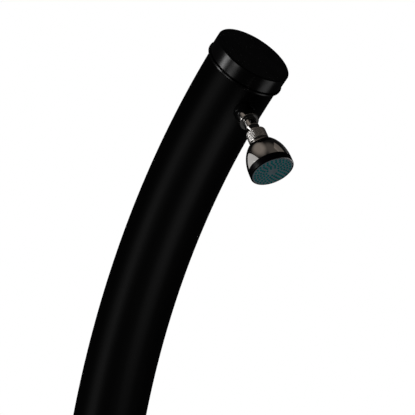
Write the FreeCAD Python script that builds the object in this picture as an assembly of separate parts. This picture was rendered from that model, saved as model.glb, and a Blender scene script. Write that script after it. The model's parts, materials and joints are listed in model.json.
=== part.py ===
import FreeCAD, Part
import math
import os
from FreeCAD import Vector

# Outdoor solar shower post: a black water tank in two tubes on a bolted foot, bent over at the top,
# with a capped end, a ball-jointed shower head and a single-lever mixer.
# Sizes are in millimetres. Z is up and the post leans towards -Y, where the user stands.
# The origin is the centre of the foot's underside.

# ---- tank tubes ----
tank_diameter = 120.0
tank_wall = 3.5
bend_start_height = 1467.0
bend_radius = 867.0          # of the tank's centreline
lean_angle = 51.6            # degrees from vertical at the tube's upper end
joint_height = 1020.0        # middle of the joint between the two tubes
glue_gap = 0.2               # radial, between a tube and what is pushed into or over it
seat_gap = 0.05              # between a curved wall and what is shaped to it
thread_gap = 0.05            # radial, between a screwed shank and its hole or nut
wall_hole_gap = 0.3          # radial, around a shank where it passes a wall
cut_margin = 2.0             # how far a cutting body runs past what it cuts
seal_squeeze = 0.04          # left between an O-ring and its groove
edge_find = 0.01             # how near an edge lies to where it is looked for

# ---- foot ----
foot_radius = 110.0
foot_thickness = 10.0
foot_edge_chamfer = 3.0
hub_wall = 6.0
hub_height = 50.0
rib_count = 8
rib_thickness = 6.0
rib_reach = 36.0             # how far a rib runs out from the hub
rib_rise = 38.0
rib_bury = 3.0               # how far a rib runs into the hub
bolt_circle = 176.0
bolt_count = 4
bolt_hole_radius = 5.25

# ---- closure at the tube's lower end ----
plug_floor = 6.0
plug_wall = 8.0
plug_depth = 42.0
plug_seal_height = 12.0      # of the seal's middle above the plug's underside
seal_section = 2.6           # diameter of the large O-rings
seal_groove_extra = 0.6      # groove width beyond the O-ring's diameter
foot_screw_height = 30.0     # above the foot's plate

# ---- self-tapping screws ----
screw_radius = 2.4
screw_length = 17.0
screw_head_radius = 4.75
screw_head_height = 2.6
screw_spot_depth = 1.5
screw_spot_gap = 0.45
screw_slot_width = 1.2
screw_slot_depth = 1.1

# ---- joint between the tubes ----
sleeve_wall = 8.0
sleeve_reach = 48.0          # into each tube
sleeve_rib = 4.0
sleeve_seal_offset = 36.0
collar_wall = 6.5
collar_height = 70.0
collar_chamfer = 2.0
joint_screw_offset = 17.0
joint_screws_per_tube = 4
foot_screw_count = 4

# ---- top cap ----
cap_top = 4.0
cap_seal = 2.0
cap_skirt_radius = 62.4
cap_rim_radius = 2.0
cap_depth = 30.0
cap_bead_radius = 64.4
cap_bead_height = 3.2
cap_bead_chamfer = 1.8
cap_groove_height = 1.4
cap_groove_depth = 0.7
cap_fit = 0.25

# ---- fittings through the wall: inlet, drain and shower arm ----
shank_radius = 10.4
fitting_flange_radius = 16.0
fitting_flange_height = 5.0
outer_seal_rise = 2.5        # thickness at the middle
inner_washer_depth = 5.0     # from the tank's inner wall at the middle
inner_washer_radius = 15.0
locknut_flats = 27.0
locknut_height = 6.0
shank_past_nut = 1.5
service_height = 92.0        # of the inlet and the drain

# ---- hoses inside ----
hose_radius = 6.0
hose_bore = 4.5
hose_bend = 30.0
barb_gap = 0.05
barb_length = 11.0
barb_bore = 3.0
hose_end_gap = 0.5           # between a hose's end and the shoulder behind its barb
hose_back_offset = 22.0      # of the cold and warm hoses behind the tank's axis
warm_end_below_top = 30.0
clip_wall = 1.1
clip_width = 7.0
clip_inset = 1.0

# ---- hose inlet ----
inlet_bore = 4.5
inlet_base_radius = 9.5
inlet_base_height = 4.0
inlet_shoulder_radius = 8.5
inlet_shoulder_height = 5.0
inlet_neck_radius = 6.8
inlet_neck_height = 8.0
inlet_collar_height = 5.0
inlet_groove_radius = 6.1
inlet_groove_height = 2.4
inlet_barrel_radius = 7.45
inlet_barrel_height = 8.0
inlet_tip_chamfer = 1.0
inlet_ring_section = 1.7
tee_wall = 3.6
tee_socket_depth = 8.0
tee_nut_gap = 0.5
tee_reach = 18.0             # past the middle of its upright branch
tee_port_bore = 4.0

# ---- drain ----
drain_bore = 6.5
drain_plug_length = 16.0
drain_washer_height = 1.6
drain_head_radius = 11.0
drain_head_height = 6.0
drain_grip_width = 4.0
drain_grip_length = 20.0
drain_grip_height = 8.0

# ---- mixer, measured out from the tank's axis ----
mixer_clear_of_collar = 88.0  # from the joint's collar up to the escutcheon
mixer_shank_radius = 16.5
mixer_gasket_radius = 35.0
mixer_gasket_wall = 2.0
escutcheon_radius = 37.0
escutcheon_front = 74.0
escutcheon_chamfer = 3.0
mixer_body_radius = 25.0
mixer_body_length = 26.0
mixer_body_chamfer = 1.5
mixer_washer_radius = 22.0
mixer_washer_depth = 6.5
mixer_nut_flats = 42.0
mixer_nut_height = 6.0
mixer_shank_past_nut = 2.0
mixer_port_spread = 9.5      # cold below and riser above the axis
warm_port_offset = 11.0
cartridge_radius = 17.5
cartridge_length = 15.0
cartridge_fit = 0.1
cartridge_neck_radius = 12.8
cartridge_neck_length = 6.0
cartridge_well_radius = 11.0
cartridge_well_depth = 9.0
retainer_radius = 20.5
retainer_height = 4.0
pivot_ahead = 1.0            # of the mixer body's front face
shroud_radius = 21.5
shroud_wall = 2.0
shroud_mouth = 16.0
run_gap = 0.08               # radial, of shafts that turn in a hole
body_gap = 0.3               # between pieces that move past each other
carrier_height = 4.0         # ahead of the pivot
spindle_width = 7.0
spindle_tail = 6.0
spindle_reach = 21.0
spindle_pin_radius = 1.5
spindle_pin_length = 18.0
handle_gap = 0.8             # between the shroud and the handle's hollow
handle_wall = 3.7
handle_lift = 25.0           # degrees, the lever's travel from shut to full flow
handle_rim_ahead = 0.5
handle_rim_slope = 27.0      # degrees, so that the raised handle clears the body
handle_boss_radius = 6.3
handle_boss_back = 11.0      # ahead of the pivot
handle_web = 1.0             # between the spindle's socket and the screw's head
lever_length = 95.0
lever_root = 14.0
lever_shares = [0.0, 0.45, 0.97, 1.0]            # of the length, at each oval section
lever_aheads = [12.0, 15.0, 21.0, 21.4]          # of the section's middle from the pivot
lever_half_widths = [9.0, 9.5, 11.5, 9.8]
lever_half_depths = [6.5, 4.4, 3.6, 2.2]
handle_screw_radius = 2.0
handle_screw_length = 9.0
handle_screw_head_radius = 3.6
handle_screw_head_height = 2.4
button_radius = 6.5
button_height = 2.0

# ---- shower arm ----
arm_from_end = 63.0          # along the centreline, from the tank's upper end
bush_radius = 15.9
bush_step = 5.0
bush_top_radius = 14.9
bush_height = 14.0
bush_round = 2.5
stem_collar_radius = 15.1
stem_collar_end = 28.0
stem_socket_depth = 12.0
stem_chamfer = 1.0
stem_body_radius = 10.4
stem_body_end = 45.5
stem_neck_radius = 6.4
stem_neck_start = 50.5
stem_bore = 3.6
ball_standoff = 63.5         # ball's middle from the tank's surface
ball_radius = 11.5
ball_seat_gap = 0.05

# ---- shower head, measured from the ball's middle along the head ----
head_pitch = 13.0            # degrees, further down than the arm
head_yaw = 10.4              # degrees, towards +X
nut_radius = 15.2
nut_back = 6.7
nut_lip = 1.5
nut_front = 11.5
nut_wall = 1.95
nut_chamfer = 1.0
slip_ring_front = 0.2
neck_back = 0.5
neck_bore = 11.9
seat_back = 4.0
seat_front = 11.5
seat_bore = 6.0
screen_thickness = 0.8
screen_hole = 0.8
screen_ring_counts = [1, 6, 12]
screen_ring_radii = [0.0, 2.4, 4.6]
neck_floor = 2.0
neck_outlet = 6.0
bell_radius = 33.0
bell_middle = 55.0           # where the dome meets the skirt
bell_length = 46.8           # of the dome, a half ellipse
bell_end = 55.7
bell_wall = 2.0
band_radius = 33.1
band_front = 66.0
band_gap = 0.3               # between the bell's edge and the band
band_round = 0.9
band_lip = 2.4              # width seen from the front
band_lip_thickness = 1.9
spigot_radius = 31.2
spigot_wall = 2.0
plate_recess = 0.4
plate_flange = 1.9
mat_thickness = 1.5
backplate_thickness = 2.0
face_seal_thickness = 1.1
nozzle_ring_counts = [9, 14, 18, 22, 27]
nozzle_ring_radii = [9.4, 13.8, 18.2, 22.6, 27.0]
nozzle_radius = 1.55
nozzle_tip_radius = 1.15
nozzle_proud = 1.6
nozzle_bore = 0.4
nozzle_fit = 0.08

# ---- derived sizes ----
tank_radius = tank_diameter / 2
tank_bore = tank_radius - tank_wall
locknut_plane = tank_bore - inner_washer_depth
fitting_shank_end = locknut_plane - locknut_height - shank_past_nut
inlet_shank_end = locknut_plane - locknut_height - tee_nut_gap - tee_socket_depth
fitting_flange_plane = tank_radius + outer_seal_rise
barb_radius = hose_bore - barb_gap
mixer_height = joint_height + collar_height / 2 + mixer_clear_of_collar + escutcheon_radius
mixer_nut_plane = tank_bore - mixer_washer_depth
mixer_shank_end = mixer_nut_plane - mixer_nut_height - mixer_shank_past_nut
mixer_front = escutcheon_front + mixer_body_length
cartridge_floor = mixer_front - retainer_height - pivot_ahead - cartridge_length
cartridge_shoulder = cartridge_floor + cartridge_length
mixer_pivot = mixer_front + pivot_ahead
arm_angle = lean_angle - math.degrees(arm_from_end / bend_radius)
cap_sag = bend_radius - math.sqrt(bend_radius ** 2 - cap_depth ** 2)
ball_from_axis = tank_radius + ball_standoff
nut_bore = nut_radius - nut_wall
slip_ring_radius = nut_bore - run_gap
screen_back = seat_front + body_gap
neck_floor_back = screen_back + screen_thickness
band_bore = spigot_radius + thread_gap
band_front_bore = band_radius - band_lip
plate_front = band_front - plate_recess
plate_flange_front = band_front - band_lip_thickness
plate_back = plate_flange_front - plate_flange
mat_back = plate_back - mat_thickness
spigot_bore = spigot_radius - spigot_wall
spigot_front = plate_back - face_seal_thickness

z_up = Vector(0, 0, 1)


def rod(radius, low, high, x=0.0, y=0.0):
    """Round bar along Z between two heights."""
    return Part.makeCylinder(radius, high - low, Vector(x, y, low))


def ring(outer, inner, low, high):
    """Round bar with a bore."""
    return rod(outer, low, high).cut(rod(inner, low - cut_margin, high + cut_margin))


def block(width, depth, low, high):
    """Box about the Z axis, width along X and depth along Y."""
    return Part.makeBox(width, depth, high - low, Vector(-width / 2, -depth / 2, low))


def turned(outline):
    """Solid turned about Z from (radius, height) corners."""
    corners = [Vector(radius, 0, height) for radius, height in outline]
    face = Part.Face(Part.makePolygon(corners + corners[:1]))
    return face.revolve(Vector(0, 0, 0), z_up, 360)


def line(start, end):
    """Straight edge between two points."""
    return Part.LineSegment(start, end).toShape()


def hex_bar(flats, low, high):
    """Hexagonal bar along Z."""
    reach = flats / math.sqrt(3)
    turns = [math.pi / 3 * (i % 6) for i in range(7)]
    corners = [Vector(reach * math.cos(turn), reach * math.sin(turn), low) for turn in turns]
    return Part.Face(Part.makePolygon(corners)).extrude(Vector(0, 0, high - low))


def ball(radius, height=0.0):
    """Sphere with its middle on the Z axis."""
    return Part.makeSphere(radius, Vector(0, 0, height))


def o_ring(middle_radius, section, height):
    """Ring of round section about Z."""
    return Part.makeTorus(middle_radius, section / 2, Vector(0, 0, height))


def joined(first, *others):
    """One solid from pieces that overlap."""
    result = first.fuse(list(others)).removeSplitter()
    return result.Solids[0] if len(result.Solids) == 1 else result


def rim_edges(body, radius, height):
    """Round edges of a turned body at a radius and a height."""
    boxes = [(edge, edge.BoundBox) for edge in body.Edges]
    return [edge for edge, box in boxes if box.ZMin > height - edge_find and box.XMax > radius - edge_find]


def frame_at(origin, z_axis, y_axis):
    """Placement whose Z and Y axes point the given ways."""
    z = Vector(z_axis).normalize()
    x = Vector(y_axis).cross(z).normalize()
    y = z.cross(x)
    matrix = FreeCAD.Matrix(x.x, y.x, z.x, origin.x,
                            x.y, y.y, z.y, origin.y,
                            x.z, y.z, z.z, origin.z,
                            0, 0, 0, 1)
    return FreeCAD.Placement(matrix)


def placed(shape, frame):
    """Copy of a shape moved from its own frame into the post's."""
    moved = shape.copy()
    moved.Placement = frame.multiply(moved.Placement)
    return moved


def around(shape, count, start=0.0):
    """Copies of a shape evenly spaced about Z."""
    copies = []
    for i in range(count):
        turn = FreeCAD.Placement(Vector(), z_up, start + 360.0 * i / count)
        copies.append(placed(shape, turn))
    return copies


def export(name, *solids):
    """Write one piece, or a group of like pieces, to its own file."""
    shape = solids[0] if len(solids) == 1 else Part.makeCompound(list(solids))
    bad = [solid for solid in shape.Solids if not solid.isValid()]
    shape.exportStep("parts/" + name + ".step")
    print("%-22s %d solid(s) %.0f mm3 %s" % (name, len(shape.Solids), shape.Volume, "INVALID" if bad else ""))


# ---- the bend of the upper tube ----

bend_middle = Vector(0, -bend_radius, bend_start_height)


def bend_out(angle):
    """Direction from the bend's middle to the centreline."""
    turn = math.radians(angle)
    return Vector(0, math.cos(turn), math.sin(turn))


def bend_point(angle, offset=0.0):
    """Point of the centreline, or behind it by an offset."""
    return bend_middle + bend_out(angle) * (bend_radius + offset)


def bend_along(angle):
    """Direction of the centreline, upwards."""
    turn = math.radians(angle)
    return Vector(0, -math.sin(turn), math.cos(turn))


def bent_bar(radius, low):
    """Filled shape of the bent tube: straight from a height, then round the bend to the upper end."""
    face = Part.Face(Part.Wire(Part.makeCircle(radius, Vector(0, 0, bend_start_height), z_up)))
    bend = face.revolve(bend_middle, Vector(1, 0, 0), lean_angle)
    return joined(rod(radius, low, bend_start_height), bend.Solids[0])


end_frame = frame_at(bend_point(lean_angle), bend_along(lean_angle), Vector(1, 0, 0))
arm_frame = frame_at(bend_point(arm_angle), bend_out(arm_angle) * -1, Vector(1, 0, 0))
mixer_frame = frame_at(Vector(0, 0, mixer_height), Vector(0, -1, 0), z_up)
inlet_frame = frame_at(Vector(0, 0, service_height), Vector(0, 1, 0), z_up)
drain_frame = frame_at(Vector(0, 0, service_height), Vector(1, 0, 0), z_up)

head_down = math.radians(arm_angle + head_pitch)
head_side = math.radians(head_yaw)
head_axis = Vector(math.sin(head_side), -math.cos(head_down) * math.cos(head_side),
                   -math.sin(head_down) * math.cos(head_side))
ball_middle = bend_point(arm_angle, -ball_from_axis)
head_frame = frame_at(ball_middle, head_axis, Vector(0, 0, 1))


# ---- foot and lower tube ----

def radial_screw(seat):
    """Screw pointing at the axis, lying along X, with its head's underside at a distance from Z."""
    shank = rod(screw_radius, -screw_length, cut_margin / 2)
    head = rod(screw_head_radius, 0, screw_head_height)
    slot = block(screw_slot_width, 2 * screw_head_radius + cut_margin, screw_head_height - screw_slot_depth,
                 screw_head_height + cut_margin)
    return placed(joined(shank, head).cut(slot), frame_at(Vector(seat, 0, 0), Vector(1, 0, 0), z_up))


def radial_bore(radius, inner, outer, height):
    """Cutter for a hole along X between two distances from Z."""
    return Part.makeCylinder(radius, outer - inner, Vector(inner, 0, height), Vector(1, 0, 0))


def raised(shapes, height):
    """Shapes moved up by a height."""
    return [placed(shape, FreeCAD.Placement(Vector(0, 0, height), FreeCAD.Rotation())) for shape in shapes]


hub_bore = tank_radius + glue_gap
hub_radius = hub_bore + hub_wall
foot_screw_z = foot_thickness + foot_screw_height
foot_screw_seat = hub_radius - screw_spot_depth
screw_clearance_hole = screw_radius + wall_hole_gap
screw_spot_radius = screw_head_radius + screw_spot_gap


def foot():
    """Round foot with a hub for the tube, ribs and bolt holes."""
    plate = turned([(0, 0), (foot_radius, 0), (foot_radius, foot_thickness - foot_edge_chamfer),
                    (foot_radius - foot_edge_chamfer, foot_thickness), (0, foot_thickness)])
    hub = ring(hub_radius, hub_bore, foot_thickness - cut_margin, foot_thickness + hub_height)
    low, high = foot_thickness - cut_margin, foot_thickness + rib_rise
    inner, outer = hub_radius - rib_bury, hub_radius + rib_reach
    corners = [Vector(inner, 0, low), Vector(outer, 0, low), Vector(outer, 0, foot_thickness),
               Vector(hub_radius, 0, high), Vector(inner, 0, high)]
    rib = Part.Face(Part.makePolygon(corners + corners[:1])).extrude(Vector(0, rib_thickness, 0))
    rib.translate(Vector(0, -rib_thickness / 2, 0))
    body = joined(plate, hub, *around(rib, rib_count, 180.0 / rib_count))
    body = body.cut(rod(hub_bore, foot_thickness, foot_thickness + hub_height + cut_margin))
    bolt_hole = rod(bolt_hole_radius, -cut_margin, foot_thickness + cut_margin, bolt_circle / 2)
    holes = around(bolt_hole, bolt_count, 180.0 / bolt_count)
    spot = radial_bore(screw_spot_radius, foot_screw_seat, hub_radius + cut_margin, foot_screw_z)
    hole = radial_bore(screw_clearance_hole, hub_bore - cut_margin, hub_radius, foot_screw_z)
    holes += around(spot.fuse(hole), foot_screw_count)
    return body.cut(Part.makeCompound(holes))


plug_radius = tank_bore - glue_gap
seal_groove_depth = seal_section - glue_gap + seal_squeeze
seal_middle_radius = plug_radius - seal_groove_depth + seal_squeeze / 2 + seal_section / 2


def seal_groove(height):
    """Cutter for the groove of a large O-ring."""
    half = (seal_section + seal_groove_extra) / 2
    return ring(tank_bore + cut_margin, plug_radius - seal_groove_depth, height - half, height + half)


def bottom_plug():
    """Cup that closes the tube's lower end."""
    low = foot_thickness
    cup = rod(plug_radius, low, low + plug_depth).cut(
        rod(plug_radius - plug_wall, low + plug_floor, low + plug_depth + cut_margin))
    reach = foot_screw_seat - screw_length - cut_margin
    pilot = radial_bore(screw_radius + thread_gap, reach, tank_radius, foot_screw_z)
    cup = cup.cut(seal_groove(low + plug_seal_height))
    return cup.cut(Part.makeCompound(around(pilot, foot_screw_count)))


lower_tube_top = joint_height - sleeve_rib / 2
upper_tube_bottom = joint_height + sleeve_rib / 2
joint_screw_heights = [joint_height - joint_screw_offset, joint_height + joint_screw_offset]


def wall_bore(radius, frame):
    """Cutter for a hole through one side of the tank."""
    return placed(rod(radius, 0, tank_radius + cut_margin * 2), frame)


def screw_bores(radius, count, height):
    """Cutters for the screw holes round a tube at one height."""
    return around(radial_bore(radius, tank_bore - cut_margin, tank_radius + cut_margin, height), count)


def lower_tank():
    """Straight lower tube."""
    tube = ring(tank_radius, tank_bore, foot_thickness, lower_tube_top)
    cutters = screw_bores(screw_clearance_hole, foot_screw_count, foot_screw_z)
    cutters += screw_bores(screw_clearance_hole, joint_screws_per_tube, joint_screw_heights[0])
    cutters += [wall_bore(shank_radius + wall_hole_gap, frame) for frame in (inlet_frame, drain_frame)]
    return tube.cut(Part.makeCompound(cutters))


export_list = []


def keep(name, *solids):
    """Queue a finished piece for export."""
    export_list.append((name, solids))


keep("base_flange", foot())
keep("base_screws", *raised(around(radial_screw(foot_screw_seat), foot_screw_count), foot_screw_z))
keep("bottom_plug", bottom_plug())
keep("bottom_seal", o_ring(seal_middle_radius, seal_section, foot_thickness + plug_seal_height))
keep("lower_tank", lower_tank())


# ---- joint between the tubes ----

collar_bore = tank_radius + glue_gap
collar_radius = collar_bore + collar_wall
joint_screw_seat = collar_radius - screw_spot_depth
sleeve_seal_heights = [joint_height - sleeve_seal_offset, joint_height + sleeve_seal_offset]


def joint_sleeve():
    """Sleeve inside both tubes, with a rib that their ends meet."""
    half_rib = sleeve_rib / 2
    low, high = joint_height - half_rib - sleeve_reach, joint_height + half_rib + sleeve_reach
    rib = rod(tank_radius, joint_height - half_rib, joint_height + half_rib)
    body = joined(rod(plug_radius, low, high), rib)
    body = body.cut(rod(plug_radius - sleeve_wall, low - cut_margin, high + cut_margin))
    reach = joint_screw_seat - screw_length - cut_margin
    for height in joint_screw_heights:
        pilot = radial_bore(screw_radius + thread_gap, reach, tank_radius, height)
        body = body.cut(Part.makeCompound(around(pilot, joint_screws_per_tube)))
    for height in sleeve_seal_heights:
        body = body.cut(seal_groove(height))
    return body


def joint_collar():
    """Band over both tube ends."""
    low, high = joint_height - collar_height / 2, joint_height + collar_height / 2
    rim = collar_radius - collar_chamfer
    body = turned([(collar_bore, low), (rim, low), (collar_radius, low + collar_chamfer),
                   (collar_radius, high - collar_chamfer), (rim, high), (collar_bore, high)])
    for height in joint_screw_heights:
        spot = radial_bore(screw_spot_radius, joint_screw_seat, collar_radius + cut_margin, height)
        hole = radial_bore(screw_clearance_hole, collar_bore - cut_margin, collar_radius, height)
        body = body.cut(Part.makeCompound(around(spot.fuse(hole), joint_screws_per_tube)))
    return body


joint_screws = []
for screw_height in joint_screw_heights:
    joint_screws += raised(around(radial_screw(joint_screw_seat), joint_screws_per_tube), screw_height)

keep("joint_sleeve", joint_sleeve())
keep("joint_seals", *[o_ring(seal_middle_radius, seal_section, height) for height in sleeve_seal_heights])
keep("joint_collar", joint_collar())
keep("joint_screws", *joint_screws)


# ---- upper tube and cap ----

def upper_tank():
    """Upper tube, straight and then bent over."""
    tube = bent_bar(tank_radius, upper_tube_bottom).cut(bent_bar(tank_bore, upper_tube_bottom))
    cutters = screw_bores(screw_clearance_hole, joint_screws_per_tube, joint_screw_heights[1])
    cutters.append(wall_bore(shank_radius + wall_hole_gap, arm_frame))
    cutters.append(wall_bore(mixer_shank_radius + wall_hole_gap, mixer_frame))
    return tube.cut(Part.makeCompound(cutters))


cap_plane = cap_seal + cap_top
cap_bore = tank_radius + cap_fit + cap_sag


def top_cap():
    """Flat cap with a rounded rim, a skirt and a bead round its mouth."""
    mouth = cap_plane - cap_depth
    bead_top = mouth + cap_bead_chamfer + cap_bead_height
    groove_top = bead_top + cap_groove_height
    groove_radius = cap_skirt_radius - cap_groove_depth
    bead_foot = cap_bead_radius - cap_bead_chamfer
    body = turned([(0, cap_seal), (cap_bore, cap_seal), (cap_bore, mouth), (bead_foot, mouth),
                   (cap_bead_radius, mouth + cap_bead_chamfer), (cap_bead_radius, bead_top),
                   (groove_radius, bead_top), (groove_radius, groove_top), (cap_skirt_radius, groove_top),
                   (cap_skirt_radius, cap_plane), (0, cap_plane)])
    return body.makeFillet(cap_rim_radius, rim_edges(body, cap_skirt_radius, cap_plane))


keep("upper_tank", upper_tank())
keep("top_cap", placed(top_cap(), end_frame))
keep("cap_seal", placed(ring(tank_radius, tank_bore, 0, cap_seal), end_frame))


# ---- fittings that pass through the tank's wall ----

washer_hole = shank_radius + thread_gap


def outer_seal(frame, wall):
    """Rubber washer with a back shaped to the tank."""
    washer = ring(fitting_flange_radius, washer_hole, tank_bore, fitting_flange_plane)
    return placed(washer, frame).cut(wall)


def inner_washer(frame, room, radius=inner_washer_radius, depth=inner_washer_depth, hole=washer_hole):
    """Washer inside the tank, shaped to its inner wall, with a flat face for the nut."""
    return placed(ring(radius, hole, tank_bore - depth, tank_radius), frame).common(room)


def locknut(frame):
    """Nut that holds a fitting from inside."""
    nut = hex_bar(locknut_flats, locknut_plane - locknut_height, locknut_plane)
    return placed(nut.cut(rod(washer_hole, 0, tank_radius)), frame)


straight_wall = rod(tank_radius + seat_gap, 0, bend_start_height)
straight_room = rod(tank_bore - seat_gap, 0, bend_start_height)
bent_wall = bent_bar(tank_radius + seat_gap, upper_tube_bottom)
bent_room = bent_bar(tank_bore - seat_gap, upper_tube_bottom)
service_frames = [inlet_frame, drain_frame]

washers = [inner_washer(frame, straight_room) for frame in service_frames]
washers.append(inner_washer(arm_frame, bent_room))

keep("fitting_outer_seals", *[outer_seal(frame, straight_wall) for frame in service_frames])
keep("fitting_inner_washers", *washers)
keep("fitting_locknuts", *[locknut(frame) for frame in service_frames + [arm_frame]])


# ---- hose inlet, its tee and the drain ----

def inlet_fitting():
    """Male nipple for a garden hose connector, with the shank that passes the wall."""
    plane = fitting_flange_plane
    steps = [(fitting_flange_radius, fitting_flange_height), (inlet_base_radius, inlet_base_height),
             (inlet_shoulder_radius, inlet_shoulder_height), (inlet_neck_radius, inlet_neck_height),
             (inlet_shoulder_radius, inlet_collar_height), (inlet_groove_radius, inlet_groove_height)]
    outline = [(inlet_bore, inlet_shank_end), (shank_radius, inlet_shank_end), (shank_radius, plane)]
    for radius, height in steps:
        outline += [(radius, plane), (radius, plane + height)]
        plane += height
    tip = plane + inlet_barrel_height
    outline += [(inlet_barrel_radius, plane), (inlet_barrel_radius, tip - inlet_tip_chamfer),
                (inlet_barrel_radius - inlet_tip_chamfer, tip), (inlet_bore, tip)]
    groove_middle = plane - inlet_groove_height / 2
    return turned(outline), groove_middle


inlet_body, inlet_groove_middle = inlet_fitting()
inlet_ring_radius = inlet_groove_radius + seal_squeeze / 2 + inlet_ring_section / 2
tee_radius = shank_radius + thread_gap + tee_wall
tee_barb_top = tee_radius + barb_length


def inlet_tee():
    """Tee on the inlet's inner end: up to the mixer, and on into the tank."""
    back = inlet_shank_end + tee_socket_depth
    front = hose_back_offset - tee_reach
    middle, up = Vector(0, 0, hose_back_offset), Vector(0, 1, 0)
    branch = Part.makeCylinder(barb_radius, tee_barb_top, middle, up)
    branch_bore = Part.makeCylinder(barb_bore, tee_barb_top + cut_margin, middle, up)
    body = joined(rod(tee_radius, front, back), branch)
    body = body.cut(rod(shank_radius + thread_gap, inlet_shank_end, back + cut_margin))
    body = body.cut(rod(tee_port_bore, front - cut_margin, inlet_shank_end + cut_margin))
    return body.cut(branch_bore)


def drain_bush():
    """Screwed bush for the drain plug."""
    flange = fitting_flange_plane + fitting_flange_height
    outline = [(drain_bore, fitting_shank_end), (shank_radius, fitting_shank_end),
               (shank_radius, fitting_flange_plane), (fitting_flange_radius, fitting_flange_plane),
               (fitting_flange_radius, flange), (drain_bore, flange)]
    return turned(outline)


def drain_plug():
    """Screw plug with a finger grip."""
    seat = fitting_flange_plane + fitting_flange_height + drain_washer_height
    head = rod(drain_head_radius, seat, seat + drain_head_height)
    grip_top = seat + drain_head_height + drain_grip_height
    grip = block(drain_grip_length, drain_grip_width, seat, grip_top)
    shank = rod(drain_bore - thread_gap, seat - drain_plug_length, seat + cut_margin)
    return joined(head, grip, shank)


drain_washer_plane = fitting_flange_plane + fitting_flange_height

keep("inlet_fitting", placed(inlet_body, inlet_frame))
keep("inlet_oring", placed(o_ring(inlet_ring_radius, inlet_ring_section, inlet_groove_middle), inlet_frame))
keep("inlet_tee", placed(inlet_tee(), inlet_frame))
keep("drain_bush", placed(drain_bush(), drain_frame))
keep("drain_washer", placed(ring(drain_head_radius, drain_bore, drain_washer_plane,
                                 drain_washer_plane + drain_washer_height), drain_frame))
keep("drain_plug", placed(drain_plug(), drain_frame))


# ---- shower arm ----

def arm_bush():
    """Black bush between the tank and the stem."""
    low, step, high = tank_bore, tank_radius + bush_step, tank_radius + bush_height
    outline = [(washer_hole, low), (bush_radius, low), (bush_radius, step), (bush_top_radius, step),
               (bush_top_radius, high), (washer_hole, high)]
    body = turned(outline)
    rounded = body.makeFillet(bush_round, rim_edges(body, bush_top_radius, high))
    return placed(rounded, arm_frame).cut(bent_wall)


stem_back = tank_radius + bush_height + body_gap
stem_socket_end = stem_back + stem_socket_depth
nipple_end = stem_socket_end - body_gap * 2


def arm_nipple():
    """Screwed tube that carries the stem, with a barb for the riser hose inside the tank."""
    barb_end = fitting_shank_end - barb_length
    outline = [(barb_bore, barb_end), (barb_radius, barb_end), (barb_radius, fitting_shank_end),
               (shank_radius, fitting_shank_end), (shank_radius, nipple_end), (barb_bore, nipple_end)]
    return turned(outline)


def ball_stem():
    """Collar, body, neck and ball in one turned piece, which can be turned on the nipple."""
    collar_end = tank_radius + stem_collar_end
    body_end = tank_radius + stem_body_end
    neck_start = tank_radius + stem_neck_start
    collar_rim = stem_collar_radius - stem_chamfer
    outline = [(0, stem_back), (collar_rim, stem_back), (stem_collar_radius, stem_back + stem_chamfer),
               (stem_collar_radius, collar_end - stem_chamfer), (collar_rim, collar_end),
               (stem_body_radius, collar_end), (stem_body_radius, body_end), (stem_neck_radius, neck_start),
               (stem_neck_radius, ball_from_axis), (0, ball_from_axis)]
    body = joined(turned(outline), ball(ball_radius, ball_from_axis))
    body = body.cut(rod(shank_radius + run_gap, stem_back - cut_margin, stem_socket_end))
    return body.cut(rod(stem_bore, stem_socket_end - cut_margin, ball_from_axis + ball_radius + cut_margin))


keep("arm_bush", arm_bush())
keep("arm_nipple", placed(arm_nipple(), arm_frame))
keep("ball_stem", placed(ball_stem(), arm_frame))


# ---- shower head ----

ball_room = ball(ball_radius + ball_seat_gap)


def ball_nut():
    """Nut that holds the ball in the head's neck."""
    lip_front = nut_lip - nut_back
    rim = nut_radius - nut_chamfer
    outline = [(0, -nut_back), (rim, -nut_back), (nut_radius, nut_chamfer - nut_back),
               (nut_radius, nut_front - nut_chamfer), (rim, nut_front), (nut_bore, nut_front),
               (nut_bore, lip_front), (0, lip_front)]
    return turned(outline).cut(ball(ball_radius + body_gap))


def slip_ring():
    """Ring between the nut's lip and the ball."""
    back = nut_lip - nut_back + body_gap
    return rod(slip_ring_radius, back, slip_ring_front).cut(ball_room)


def ball_seat():
    """Rubber seat on the water side of the ball."""
    return ring(neck_bore - run_gap, seat_bore, seat_back, seat_front).cut(ball_room)


def inlet_screen():
    """Drilled disc that keeps grit out of the head."""
    disc = rod(neck_bore - thread_gap, screen_back, neck_floor_back)
    holes = []
    for count, radius in zip(screen_ring_counts, screen_ring_radii):
        hole = rod(screen_hole, screen_back - cut_margin, neck_floor_back + cut_margin, radius)
        holes += around(hole, count)
    return disc.cut(Part.makeCompound(holes))


def bell(inset):
    """Filled bell of the head, a half-ellipse dome and a straight skirt, smaller all over by an inset."""
    radius, middle = bell_radius - inset, Vector(0, 0, bell_middle)
    pole, side = middle - z_up * (bell_length - inset), middle + Vector(radius, 0, 0)
    end = Vector(0, 0, bell_end)
    dome = Part.ArcOfEllipse(Part.Ellipse(pole, side, middle), 0, math.pi / 2)
    outline = [dome.toShape(), line(side, end + Vector(radius, 0, 0)), line(end + Vector(radius, 0, 0), end)]
    face = Part.Face(Part.Wire(outline + [line(end, pole)]))
    return face.revolve(Vector(0, 0, 0), z_up, 360)


def bell_height(radius):
    """How far along the head the bell's outside reaches a radius."""
    return bell_middle - bell_length * math.sqrt(1 - (radius / bell_radius) ** 2)


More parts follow.
